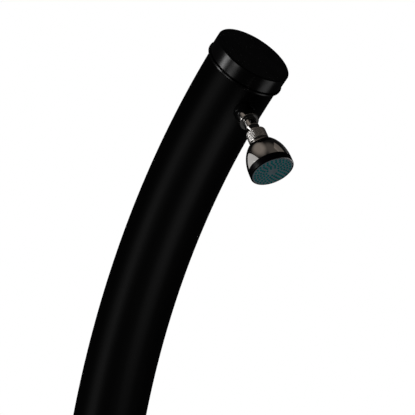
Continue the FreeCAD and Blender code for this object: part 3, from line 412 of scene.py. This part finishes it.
def makeStem():
    base, ball = arm["tank"], arm["tank"] + arm["ballHeight"]
    neckMeets = math.asin(arm["neck"] / arm["ball"])
    boreMeets = math.pi - math.asin(arm["bore"] / arm["ball"])
    corners = [(arm["bore"], base + arm["socketEnd"]), (arm["socket"], base + arm["socketEnd"]),
               (arm["socket"], base + arm["collarBack"]),
               (arm["collar"], base + arm["collarBack"], 0.8 * mm),
               (arm["collar"], base + arm["collarEnd"], 1.1 * mm),
               (arm["stem"], base + arm["collarEnd"], 0.8 * mm),
               (arm["stem"], base + arm["stemEnd"], 1.6 * mm),
               (arm["neck"], base + arm["neckStart"], 1.2 * mm)]
    for k in range(arm["ballSteps"] + 1):
        turn = neckMeets + (boreMeets - neckMeets) * k / arm["ballSteps"]
        corners.append((arm["ball"] * math.sin(turn), ball - arm["ball"] * math.cos(turn)))
    return turnedPiece("ballStem", corners, armFrame)


dress(makeBush(), "post", "cap_black", "arm_bush")
dress(makeStem(), "arm_swivel", "chrome", "ball_stem")


# Shower head: knurled nut, bell, band, face and nozzles

head = {"pitch": 13.0, "yaw": 10.4}
headDown = math.radians(armAngle + head["pitch"])
headSide = math.radians(head["yaw"])
headAxis = Vector((math.sin(headSide), -math.cos(headDown) * math.cos(headSide),
                   -math.sin(headDown) * math.cos(headSide)))
headFrame = axisFrame(bendPoint(armAngle, -arm["tank"] - arm["ballHeight"]), headAxis, upright)

nut = {"radius": 15.2 * mm, "back": -6.7 * mm, "front": 11.5 * mm, "bore": 13.25 * mm, "lip": -5.2 * mm,
       "ballRoom": 11.8 * mm, "edge": 1.0 * mm, "plain": 1.3 * mm, "knurls": 40, "perKnurl": 8, "rise": 0.5 * mm}


def zigzag(value):
    return 2 * abs(value - math.floor(value + 0.5))


def makeNut():
    # V grooves of two opposite screws leave small pyramids
    turns = nut["knurls"] * nut["perKnurl"]
    pitch = 2 * math.pi * nut["radius"] / nut["knurls"]
    mesh = bmesh.new()
    mouth = math.sqrt(nut["ballRoom"] ** 2 - nut["lip"] ** 2)
    back = math.sqrt(nut["ballRoom"] ** 2 - nut["back"] ** 2)
    corners = [(back, nut["back"]), (nut["radius"] - nut["rise"], nut["back"], nut["edge"]),
               (nut["radius"] - nut["rise"], nut["front"], nut["edge"]), (nut["bore"], nut["front"]),
               (nut["bore"], nut["lip"]), (mouth, nut["lip"])]
    outline = roundedOutline(corners)
    split = 8    # points of the outline before the knurled part
    rows = round((nut["front"] - nut["back"] - 2 * nut["edge"]) / (pitch / nut["perKnurl"]))
    rings = [ringOf(mesh, radius, height, turns) for radius, height in outline[:split]]
    for i in range(1, rows):
        height = nut["back"] + nut["edge"] + (nut["front"] - nut["back"] - 2 * nut["edge"]) * i / rows
        fromEnd = min(height - nut["back"], nut["front"] - height)
        fade = min(1.0, max(0.0, (fromEnd - nut["edge"]) / (nut["plain"] - nut["edge"] + 1e-9)))
        ring = []
        for k in range(turns):
            a, b = k / nut["perKnurl"], height / pitch
            bump = min(zigzag(a + b), zigzag(a - b))
            radius = nut["radius"] - nut["rise"] + nut["rise"] * bump * fade
            turn = 2 * math.pi * k / turns
            ring.append(mesh.verts.new((radius * math.cos(turn), radius * math.sin(turn), height)))
        rings.append(ring)
    rings += [ringOf(mesh, radius, height, turns) for radius, height in outline[split:]]
    bridgeRings(mesh, rings, True)
    mesh.transform(headFrame)
    return newPiece("ballNut", mesh)


bell = {"radius": 33.0 * mm, "middle": 55.0 * mm, "length": 46.8 * mm, "end": 55.7 * mm, "wall": 2 * mm,
        "neck": 13.2 * mm, "neckBack": 0.5 * mm, "neckBore": 11.9 * mm, "spigot": 31.2 * mm,
        "spigotBore": 29.2 * mm, "spigotFront": 61.1 * mm, "neckFloor": 12.6 * mm, "outlet": 6 * mm,
        "roomTop": 14.6 * mm, "steps": 64, "roomSteps": 24, "edge": 0.4 * mm}


def bellArc(inset, start, end, steps):
    # half ellipse from a turn off the head's axis to another
    wide, tall = bell["radius"] - inset, bell["length"] - inset
    turns = [start + (end - start) * k / steps for k in range(steps + 1)]
    return [(wide * math.sin(turn), bell["middle"] - tall * math.cos(turn)) for turn in turns]


def makeBell():
    rootTurn = math.asin(bell["neck"] / bell["radius"])
    inside = bell["length"] - bell["wall"]
    roomTurn = math.acos((bell["middle"] - bell["roomTop"]) / inside)
    endTurn = math.acos((bell["middle"] - bell["end"] + bell["wall"]) / inside)
    corners = [(bell["neckBore"], bell["neckBack"]), (bell["neck"], bell["neckBack"], softEdge)]
    corners += bellArc(0, rootTurn, math.pi / 2, bell["steps"])
    corners += [(bell["radius"], bell["end"], bell["edge"]), (bell["spigot"], bell["end"]),
                (bell["spigot"], bell["spigotFront"]), (bell["spigotBore"], bell["spigotFront"]),
                (bell["spigotBore"], bell["end"] - bell["wall"])]
    corners += bellArc(bell["wall"], endTurn, roomTurn, bell["roomSteps"])
    corners += [(bell["outlet"], bell["roomTop"]), (bell["outlet"], bell["neckFloor"]),
                (bell["neckBore"], bell["neckFloor"])]
    return turnedPiece("headBell", corners, headFrame, 128)


band = {"back": 56.0 * mm, "radius": 33.1 * mm, "front": 66.0 * mm, "bore": 31.25 * mm, "mouth": 30.7 * mm,
        "seat": 64.1 * mm, "round": 1.9 * mm}


def makeBand():
    corners = [(band["bore"], band["back"]), (band["radius"], band["back"], 0.5 * mm),
               (band["radius"], band["front"], band["round"]), (band["mouth"], band["front"], softEdge),
               (band["mouth"], band["seat"]), (band["bore"], band["seat"])]
    return turnedPiece("headBand", corners, headFrame, 128)


face = {"radius": 30.65 * mm, "front": 65.6 * mm, "back": 62.2 * mm, "flange": 31.2 * mm, "flangeFront": 64.1 * mm,
        "counts": [9, 14, 18, 22, 27], "radii": [9.4 * mm, 13.8 * mm, 18.2 * mm, 22.6 * mm, 27.0 * mm],
        "hole": 1.63 * mm, "nozzle": 1.55 * mm, "tip": 1.15 * mm, "proud": 1.6 * mm, "root": 0.5 * mm,
        "bore": 0.4 * mm, "boreDepth": 1.2 * mm,
        "sheetBack": 60.7 * mm, "sheetRadius": 29.15 * mm}


def nozzlePlaces():
    places = []
    for count, radius in zip(face["counts"], face["radii"]):
        for turn in around(count):
            places.append(headFrame @ turn @ Matrix.Translation((radius, 0, 0)))
    return places


def makeFace():
    corners = [(0, face["back"]), (face["flange"], face["back"]), (face["flange"], face["flangeFront"]),
               (face["radius"], face["flangeFront"]), (face["radius"], face["front"], 0.4 * mm),
               (0, face["front"])]
    plate = turnedPiece("facePlate", corners, headFrame, 96)
    holes = [pin(face["hole"], face["back"] - mm, face["front"] + mm, place, 24) for place in nozzlePlaces()]
    return combine(plate, joinMeshes("holes", holes), "DIFFERENCE")


def makeNozzles():
    root, tipEnd = face["back"] - face["root"], face["front"] + face["proud"]
    corners = [(0, root), (face["nozzle"], root),
               (face["nozzle"], face["front"], softEdge), (face["tip"], tipEnd, 0.35 * mm),
               (face["bore"], tipEnd, 0.1 * mm), (face["bore"], tipEnd - face["boreDepth"]),
               (0, tipEnd - face["boreDepth"])]
    meshes = [turnedMesh([(0, face["sheetBack"]), (face["sheetRadius"], face["sheetBack"]),
                          (face["sheetRadius"], face["back"]), (0, face["back"])], 96)]
    for place in nozzlePlaces():
        nozzle = turnedMesh(corners, 20, 3)
        nozzle.transform(place)
        meshes.append(nozzle)
    meshes[0].transform(headFrame)
    return joinMeshes("nozzleMat", meshes)


dress(makeNut(), "shower_head", "chrome", "ball_nut", crease=60)
dress(makeBell(), "shower_head", "chromed_plastic", "head_shell")
dress(makeBand(), "shower_head", "band_dark", "head_band")
dress(makeFace(), "shower_head", "face_grey", "face_plate")
dress(makeNozzles(), "shower_head", "nozzle_teal", "nozzle_mat")
print("arm and head made")


# Collar over the joint, with its screws

joint = {"height": 1020 * mm, "bore": 60.2 * mm, "radius": 66.7 * mm, "collarHeight": 70 * mm, "round": 2.2 * mm,
         "screwOffset": 17 * mm, "screws": 4, "seat": 65.2 * mm, "spot": 5.2 * mm, "spotDepth": 5 * mm}
screw = {"head": 4.75 * mm, "headHeight": 2.6 * mm, "shank": 2.4 * mm, "length": 17 * mm, "tip": 0.4 * mm,
         "tipLength": 4 * mm, "slot": 1.2 * mm, "slotDepth": 1.1 * mm, "slotLength": 12 * mm, "cutter": 2 * mm}


def slottedScrew(place):
    # lies along X with its head's underside at the place
    low = -screw["length"]
    corners = [(0, low), (screw["tip"], low), (screw["shank"], low + screw["tipLength"]), (screw["shank"], 0),
               (screw["head"], 0, softEdge), (screw["head"], screw["headHeight"], 1.5 * mm), (0, screw["headHeight"])]
    body = turnedPiece("screw", corners, groundFrame, 40)
    slot = bmesh.new()
    bmesh.ops.create_cube(slot, size=1)
    middle = screw["headHeight"] - screw["slotDepth"] + screw["cutter"] / 2
    slot.transform(Matrix.Translation((0, 0, middle))
                   @ Matrix.Diagonal((screw["slot"], screw["slotLength"], screw["cutter"], 1)))
    combine(body, newPiece("slot", slot), "DIFFERENCE")
    mesh = bmesh.new()
    mesh.from_mesh(body.data)
    mesh.transform(place)
    bpy.data.objects.remove(body)
    return mesh


def alongX(distance, height):
    return Matrix.Translation((distance, 0, height)) @ Matrix.Rotation(math.radians(90), 4, "Y")


def screwGroup(name, seat, heights, count):
    meshes = []
    for height in heights:
        meshes += [slottedScrew(turn @ alongX(seat, height)) for turn in around(count)]
    return joinMeshes(name, meshes)


def makeCollar():
    low, high = joint["height"] - joint["collarHeight"] / 2, joint["height"] + joint["collarHeight"] / 2
    corners = [(joint["bore"], low), (joint["radius"], low, joint["round"]), (joint["radius"], high, joint["round"]),
               (joint["bore"], high)]
    collar = turnedPiece("jointCollar", corners, groundFrame, 160)
    spots = []
    for offset in (-joint["screwOffset"], joint["screwOffset"]):
        place = alongX(joint["seat"], joint["height"] + offset)
        spots += [pin(joint["spot"], 0, joint["spotDepth"], turn @ place) for turn in around(joint["screws"])]
    return combine(collar, joinMeshes("spots", spots), "DIFFERENCE")


jointHeights = [joint["height"] - joint["screwOffset"], joint["height"] + joint["screwOffset"]]
dress(makeCollar(), "post", "foot_black", "joint_collar")
dress(screwGroup("jointScrews", joint["seat"], jointHeights, joint["screws"]), "post", "steel", "joint_screws")


# Foot with hub, ribs and bolt holes

foot = {"radius": 110 * mm, "thickness": 10 * mm, "edge": 3 * mm, "bore": 60.2 * mm, "hub": 66.2 * mm,
        "hubTop": 60 * mm, "ribs": 8, "ribTurn": 22.5, "ribReach": 36 * mm, "ribRise": 38 * mm,
        "ribHalf": 3 * mm, "ribRoot": 3 * mm, "ribSink": 4 * mm, "ribToe": 4 * mm, "bolts": 4, "boltTurn": 45,
        "boltCircle": 88 * mm, "boltHole": 5.25 * mm, "screws": 4, "screwHeight": 40 * mm, "seat": 64.7 * mm,
        "spot": 5.2 * mm, "past": 5 * mm, "voxel": 1.3 * mm, "ease": 5}


def ribMesh(place):
    inner, outer = foot["hub"] - foot["ribRoot"], foot["hub"] + foot["ribReach"]
    low, top = foot["thickness"] - foot["ribSink"], foot["thickness"] + foot["ribRise"]
    side = [(inner, low), (outer + foot["ribToe"], low), (outer, foot["thickness"] + mm), (foot["hub"], top),
            (inner, top)]
    mesh = bmesh.new()
    faces = []
    for y in (-foot["ribHalf"], foot["ribHalf"]):
        faces.append([mesh.verts.new((x, y, z)) for x, z in side])
    for k in range(len(side)):
        mesh.faces.new((faces[0][k - 1], faces[0][k], faces[1][k], faces[1][k - 1]))
    mesh.faces.new(faces[0])
    mesh.faces.new(faces[1])
    mesh.transform(place)
    return mesh


def makeFoot():
    thick, hub, past = foot["thickness"], foot["hub"], foot["past"]
    plate = turnedPiece("baseFoot", [(0, 0), (foot["radius"], 0, 1.5 * mm), (foot["radius"], thick, foot["edge"]),
                                     (hub, thick, 2.5 * mm), (hub, foot["hubTop"], 2 * mm), (0, foot["hubTop"])],
                        groundFrame, 160)
    for turn in around(foot["ribs"], foot["ribTurn"]):
        combine(plate, newPiece("rib", ribMesh(turn)), "UNION")
    melted(plate, foot["voxel"], foot["ease"])
    cuts = [pin(foot["bore"], thick, foot["hubTop"] + past, groundFrame, 128)]
    cuts += [pin(foot["boltHole"], -past, thick + past, turn @ Matrix.Translation((foot["boltCircle"], 0, 0)))
             for turn in around(foot["bolts"], foot["boltTurn"])]
    cuts += [pin(foot["spot"], 0, past, turn @ alongX(foot["seat"], foot["screwHeight"]))
             for turn in around(foot["screws"])]
    for cut in cuts:
        combine(plate, newPiece("cut", cut), "DIFFERENCE")
    return plate


dress(makeFoot(), "post", "foot_black", "base_flange")
dress(screwGroup("footScrews", foot["seat"], [foot["screwHeight"]], foot["screws"]), "post", "steel", "base_screws")
print("joint and foot made")


# Hose inlet and drain

service = {"height": 92 * mm, "seal": 62.5 * mm, "flange": 16 * mm, "flangeHeight": 5 * mm, "shank": 10.4 * mm,
           "shankLength": 20 * mm}
inletFrame = axisFrame(Vector((0, 0, service["height"])), (0, 1, 0), upright)
drainFrame = axisFrame(Vector((0, 0, service["height"])), (1, 0, 0), upright)
inlet = {"bore": 4.5 * mm, "steps": [(9.5, 4), (8.5, 5), (6.8, 8), (8.5, 5), (6.1, 2.4)],
         "barrel": 7.45 * mm, "barrelLength": 8 * mm, "round": 0.5 * mm}


def makeInlet():
    plane = service["seal"]
    root = plane - service["shankLength"]
    corners = [(inlet["bore"], root), (service["shank"], root), (service["shank"], plane),
               (service["flange"], plane, 0.4 * mm),
               (service["flange"], plane + service["flangeHeight"], 1.2 * mm)]
    plane += service["flangeHeight"]
    for radius, height in inlet["steps"]:
        corners += [(radius * mm, plane, inlet["round"]), (radius * mm, plane + height * mm, inlet["round"])]
        plane += height * mm
    tip = plane + inlet["barrelLength"]
    corners += [(inlet["barrel"], plane, softEdge), (inlet["barrel"], tip, 1.3 * mm), (inlet["bore"], tip, 0.5 * mm)]
    return turnedPiece("inletFitting", corners, inletFrame, 80)


drain = {"seat": 69.1 * mm, "head": 11 * mm, "headHeight": 6 * mm, "grip": (20 * mm, 4 * mm, 14 * mm),
         "gripRound": 1.4 * mm, "shank": 6.45 * mm, "length": 16 * mm, "bore": 6.5 * mm, "voxel": 0.45 * mm, "ease": 3}


def makeDrainBush():
    low, high = service["seal"], service["seal"] + service["flangeHeight"]
    root = low - service["shankLength"]
    corners = [(drain["bore"], root), (service["shank"], root), (service["shank"], low),
               (service["flange"], low, 0.4 * mm), (service["flange"], high, 1.2 * mm), (drain["bore"], high)]
    return turnedPiece("drainBush", corners, drainFrame, 80)


def makeDrainPlug():
    seat = drain["seat"]
    plug = turnedPiece("drainPlug", [(0, seat - drain["length"]), (drain["shank"], seat - drain["length"], 0.8 * mm),
                                     (drain["shank"], seat), (drain["head"], seat, 0.6 * mm),
                                     (drain["head"], seat + drain["headHeight"], 1.2 * mm),
                                     (0, seat + drain["headHeight"])], drainFrame, 64)
    grip = bmesh.new()
    bmesh.ops.create_cube(grip, size=1)
    bmesh.ops.scale(grip, vec=drain["grip"], verts=grip.verts)
    bmesh.ops.bevel(grip, geom=grip.edges[:], offset=drain["gripRound"], segments=4, affect="EDGES", profile=0.5)
    grip.transform(drainFrame @ Matrix.Translation((0, 0, seat + drain["grip"][2] / 2)))
    combine(plug, newPiece("grip", grip), "UNION")
    return melted(plug, drain["voxel"], drain["ease"])


dress(makeInlet(), "post", slotOf["inlet_fitting"], "inlet_fitting")
dress(makeDrainBush(), "post", slotOf["drain_bush"], "drain_bush")
dress(makeDrainPlug(), "post", slotOf["drain_plug"], "drain_plug")
print("inlet and drain made")


# Mixer: plate, body and lever

mixer = {"height": 1180 * mm, "plate": 37 * mm, "plateFront": 74 * mm, "plateRound": 3.5 * mm,
         "plateBore": 16.55 * mm, "plateBack": 30 * mm, "plateRow": 50 * mm, "plateSeat": 62.05 * mm,
         "body": 25 * mm, "front": 100 * mm, "shank": 16.5 * mm, "shankLength": 20 * mm, "recess": 20.5 * mm,
         "gap": 0.05 * mm, "swing": 9 * mm, "pivot": 101 * mm, "hollow": 22.3 * mm, "dome": 26 * mm,
         "rimAhead": 0.5 * mm, "rimSlope": 27, "cutter": 60 * mm, "voxel": 0.6 * mm, "ease": 8,
         "button": 6.5 * mm, "buttonTop": 128 * mm, "buttonLow": 126 * mm, "buttonGap": 0.1 * mm,
         "buttonSink": 0.2 * mm, "drill": 140 * mm}
mixerFrame = axisFrame(Vector((0, 0, mixer["height"])), (0, -1, 0), upright)
lever = {"root": 14 * mm, "end": 95 * mm, "turns": 48, "rows": 40, "evenShare": 0.97,
         "tipShares": [0.98, 0.99, 0.996, 1.0],
         # share of the length, then mm ahead of the pivot, half width and half thickness
         "ovals": [(0.0, 12.0, 9.0, 6.5), (0.45, 15.0, 9.5, 4.4), (0.97, 21.0, 11.5, 3.6), (1.0, 21.4, 9.8, 2.2)]}


def makePlate():
    # its back follows the round tank
    radius, front, back = mixer["plate"], mixer["plateFront"], mixer["plateBack"]
    mesh = turnedMesh([(mixer["plateBore"], back), (radius, back), (radius, mixer["plateRow"]),
                       (radius, front, mixer["plateRound"]), (mixer["plateBore"], front)], 128)
    for vert in mesh.verts:
        if vert.co.z < (back + mixer["plateRow"]) / 2:
            vert.co.z = math.sqrt(mixer["plateSeat"] ** 2 - vert.co.x ** 2)
    mesh.transform(mixerFrame)
    return newPiece("mixerPlate", mesh)


def makeMixerBody():
    low, front = mixer["plateFront"], mixer["front"]
    root, recess = low - mixer["shankLength"], mixer["recess"] + mixer["gap"]
    well = mixer["pivot"] - mixer["swing"]    # room for the spindle's tail
    corners = [(0, root), (mixer["shank"], root), (mixer["shank"], low), (mixer["body"], low, softEdge),
               (mixer["body"], front, 1.5 * mm), (recess, front, softEdge), (recess, well), (0, well)]
    return turnedPiece("mixerBody", corners, mixerFrame)


def leverSection(share):
    for (a, aheadA, wideA, deepA), (b, aheadB, wideB, deepB) in zip(lever["ovals"], lever["ovals"][1:]):
        if share <= b:
            t = (share - a) / (b - a)
            return [p + (q - p) * t for p, q in ((aheadA, aheadB), (wideA, wideB), (deepA, deepB))]


def leverMesh():
    mesh = bmesh.new()
    rings = []
    sections = [i / lever["rows"] * lever["evenShare"] for i in range(lever["rows"] + 1)] + lever["tipShares"]
    for share in sections:
        ahead, wide, deep = leverSection(share)
        drop = lever["root"] + share * (lever["end"] - lever["root"])
        ring = []
        for k in range(lever["turns"]):
            turn = 2 * math.pi * k / lever["turns"]
            height = mixer["pivot"] + ahead * mm + deep * mm * math.sin(turn)
            ring.append(mesh.verts.new((wide * mm * math.cos(turn), -drop, height)))
        rings.append(ring)
    bridgeRings(mesh, rings, False)
    mesh.faces.new(rings[0])
    mesh.faces.new(rings[-1])
    return mesh


def ballMesh(radius, turns=96):
    half = turns // 2
    return turnedMesh([(radius * math.sin(math.pi * k / half), -radius * math.cos(math.pi * k / half))
                       for k in range(half + 1)], turns)


def makeHandle():
    toPivot = Matrix.Translation((0, 0, mixer["pivot"]))
    dome = ballMesh(mixer["dome"])
    dome.transform(toPivot)
    handle = newPiece("mixerHandle", dome)
    combine(handle, newPiece("lever", leverMesh()), "UNION")
    melted(handle, mixer["voxel"], mixer["ease"])
    hollow = ballMesh(mixer["hollow"])
    hollow.transform(toPivot)
    cuts = [hollow]
    for slope in (0, mixer["rimSlope"]):
        turn = toPivot @ Matrix.Rotation(math.radians(slope), 4, "X")
        cuts.append(pin(mixer["cutter"], -mixer["cutter"], mixer["rimAhead"], turn, 64))
    cuts.append(pin(mixer["button"] + mixer["buttonGap"], mixer["buttonLow"] - mixer["buttonSink"], mixer["drill"],
                    groundFrame, 48))
    for cut in cuts:
        combine(handle, newPiece("cut", cut), "DIFFERENCE")
    handle.data.transform(mixerFrame)
    return handle


def makeButton():
    corners = [(0, mixer["buttonLow"]), (mixer["button"], mixer["buttonLow"]),
               (mixer["button"], mixer["buttonTop"], 0.6 * mm), (0, mixer["buttonTop"])]
    return turnedPiece("indexButton", corners, mixerFrame, 48)


dress(makePlate(), "post", "chrome", "mixer_escutcheon")
dress(makeMixerBody(), "post", "chrome", "mixer_body")
dress(makeHandle(), "mixer_lever", "chrome", "mixer_handle", crease=40)
dress(makeButton(), "mixer_lever", "button_grey", "index_button")
print("mixer made")


# Studio: floor, light and camera

blacks = ("tank_black", "foot_black", "seal_black")
shinyBlacks = ("cap_black", "band_dark")
chromes = ("chrome", "chromed_plastic", "steel", "brass")
others = [slot for slot in finishes if slot not in blacks + shinyBlacks + ("floor",)]
warm = (1.0, 0.88, 0.78)
tankAim, capAim, headAim, postAim = (0, -0.2, 1.85), (0, -0.45, 2.1), (0.03, -0.4, 1.965), (0, 0, 1.0)
overhead = (0.2, 0.6, 4.2)
# watts; "only" names the finishes that a box lights, and one that isn't mirrored shows in no reflection
lights = [
    {"name": "tankLeft", "place": (-1.32, -0.05, 1.43), "aim": tankAim, "size": (0.4, 0.9), "power": 0.85,
     "only": blacks},
    {"name": "tankRight", "place": (0.10, -0.75, 1.0), "aim": tankAim, "size": (0.5, 0.5), "power": 0.66,
     "only": blacks},
    {"name": "tankFill", "place": overhead, "aim": postAim, "size": (2.0, 2.0), "power": 5,
     "mirrored": False, "only": blacks},
    {"name": "capLeft", "place": (-1.19, 0.031, 1.897), "aim": capAim, "size": (0.5, 0.5),
     "power": 9, "soft": True, "only": shinyBlacks + chromes},
    {"name": "capLow", "place": (-1.07, -0.34, 1.37), "aim": capAim, "size": (0.6, 0.6), "power": 3.6,
     "soft": True, "only": shinyBlacks + chromes},
    {"name": "capRight", "place": (0.95, -0.62, 1.25), "aim": capAim, "size": (1.2, 1.0), "power": 4.5,
     "soft": True, "only": shinyBlacks[:1]},
    {"name": "capFill", "place": overhead, "aim": postAim, "size": (2.0, 2.0), "power": 40,
     "mirrored": False, "only": shinyBlacks},
    {"name": "bandRight", "place": (1.22, -0.61, 1.48), "aim": headAim, "size": (1.0, 0.7),
     "power": 14, "only": shinyBlacks[1:]},
    {"name": "chromeLeft", "place": (-0.91, 0.476, 2.17), "aim": headAim, "size": (1.82, 0.62),
     "power": 2.4, "only": chromes},
    {"name": "chromeMiddle", "place": (-0.87, -0.07, 2.99), "aim": headAim, "size": (2.3, 1.5),
     "power": 2.8, "tint": warm, "soft": True, "only": chromes},
    {"name": "chromeTop", "place": (-0.23, -0.85, 3.26), "aim": headAim, "size": (1.9, 1.6),
     "power": 0.8, "tint": warm, "soft": True, "only": chromes},
    {"name": "chromeHigh", "place": (0.53, -0.75, 3.22), "aim": headAim, "size": (0.75, 0.75),
     "power": 0.265, "tint": warm, "only": chromes},
    {"name": "chromeRight", "place": (0.96, 0.09, 2.73), "aim": headAim, "size": (0.8, 0.4),
     "power": 0.04, "only": chromes},
    {"name": "chromeFloor", "place": (0.2, -0.6, -1.5), "aim": (0, -0.2, 1.5), "size": (5.0, 5.0), "power": 4,
     "only": chromes},
    {"name": "backFill", "place": (1.0, 1.6, 1.6), "aim": (0, 0, 1.2), "size": (1.5, 1.5), "power": 150,
     "mirrored": False, "only": blacks + shinyBlacks},
    {"name": "fill", "place": (-0.4, -1.7, 0.8), "aim": (0, -0.3, 1.9), "size": (1.2, 1.2), "power": 19,
     "mirrored": False, "only": others},
    {"name": "topLight", "place": overhead, "aim": postAim, "size": (2.0, 2.0), "power": 60,
     "mirrored": False, "only": others},
    {"name": "floorLight", "place": (0, 0, 5.0), "aim": (0, 0.001, 0), "size": (14, 14), "power": 950,
     "mirrored": False, "only": ("floor",)},
]
camera = {"place": (-0.7891, -1.5515, 1.5969), "azimuth": -31.180, "elevation": -11.996, "roll": 6.484,
          "lens": 87.40, "sensor": 36}
surround = {"seen": 1.0, "glow": 0.008}
softBox = {"edge": 0.5, "core": 0.15}    # shares of its width
ground = {"half": 6}


def litPieces(name, slots):
    pieces = bpy.data.collections.new(name)
    wanted = [materials[slot] for slot in slots]
    for piece in studio.objects:
        if piece.type == "MESH" and piece.data.materials[0] in wanted:
            pieces.objects.link(piece)
    return pieces


def softenEdges(data):
    # brightest in its middle, as a cloth box with one lamp is
    data.use_nodes = True
    tree = data.node_tree
    places = tree.nodes.new("ShaderNodeNewGeometry").outputs["Parametric"]
    offset, length = tree.nodes.new("ShaderNodeVectorMath"), tree.nodes.new("ShaderNodeVectorMath")
    offset.operation, length.operation = "SUBTRACT", "LENGTH"
    offset.inputs[1].default_value = (0.5, 0.5, 0)
    fade = tree.nodes.new("ShaderNodeMapRange")
    fade.interpolation_type = "SMOOTHSTEP"
    fade.inputs["From Min"].default_value = softBox["edge"]
    fade.inputs["From Max"].default_value = softBox["core"]
    tree.links.new(places, offset.inputs[0])
    tree.links.new(offset.outputs["Vector"], length.inputs[0])
    tree.links.new(length.outputs["Value"], fade.inputs["Value"])
    tree.links.new(fade.outputs["Result"], tree.nodes["Emission"].inputs["Strength"])


def makeLight(light):
    data = bpy.data.lights.new(light["name"], "AREA")
    data.shape = "RECTANGLE"
    data.size, data.size_y = light["size"]
    data.energy = light["power"]
    data.color = light.get("tint", (1, 1, 1))
    if "soft" in light:
        softenEdges(data)
    lamp = bpy.data.objects.new(light["name"], data)
    lamp.location = light["place"]
    way = Vector(light["aim"]) - Vector(light["place"])
    lamp.rotation_euler = way.to_track_quat("-Z", "Y").to_euler()
    lamp.visible_camera = False
    lamp.visible_glossy = light.get("mirrored", True)
    if "only" in light:
        lamp.light_linking.receiver_collection = litPieces(light["name"], light["only"])
    studio.collection.objects.link(lamp)


def makeWorld():
    # plain white to the eye, and nearly dark in what the pieces mirror
    world = bpy.data.worlds.new("studio")
    world.use_nodes = True
    tree = world.node_tree
    tree.nodes.clear()
    rays = tree.nodes.new("ShaderNodeLightPath")
    seen, lighting = tree.nodes.new("ShaderNodeBackground"), tree.nodes.new("ShaderNodeBackground")
    seen.inputs["Strength"].default_value = surround["seen"]
    lighting.inputs["Strength"].default_value = surround["glow"]
    for back in (seen, lighting):
        back.inputs["Color"].default_value = (1, 1, 1, 1)
    mix, output = tree.nodes.new("ShaderNodeMixShader"), tree.nodes.new("ShaderNodeOutputWorld")
    tree.links.new(rays.outputs["Is Camera Ray"], mix.inputs["Fac"])
    tree.links.new(lighting.outputs[0], mix.inputs[1])
    tree.links.new(seen.outputs[0], mix.inputs[2])
    tree.links.new(mix.outputs[0], output.inputs["Surface"])
    studio.world = world


def makeFloor():
    mesh = bmesh.new()
    bmesh.ops.create_grid(mesh, x_segments=1, y_segments=1, size=ground["half"])
    floor = newPiece("floor", mesh)
    floor.data.materials.append(materials["floor"])
    floor.visible_glossy = False
    floor.visible_diffuse = False


def makeCamera():
    data = bpy.data.cameras.new("camera")
    data.lens, data.sensor_width = camera["lens"], camera["sensor"]
    azimuth, elevation = math.radians(camera["azimuth"]), math.radians(camera["elevation"])
    roll = math.radians(camera["roll"])
    back = Vector((math.sin(azimuth) * math.cos(elevation), -math.cos(azimuth) * math.cos(elevation),
                   math.sin(elevation)))
    level = Vector((math.cos(azimuth), math.sin(azimuth), 0))
    above = back.cross(level)
    right = level * math.cos(roll) + above * math.sin(roll)
    up = above * math.cos(roll) - level * math.sin(roll)
    eye = bpy.data.objects.new("camera", data)
    eye.matrix_world = Matrix.Translation(camera["place"]) @ Matrix((right, up, back)).transposed().to_4x4()
    studio.collection.objects.link(eye)
    studio.camera = eye


makeFloor()
for light in lights:
    makeLight(light)
makeWorld()
makeCamera()
studio.view_settings.view_transform = "Standard"
print("studio made")
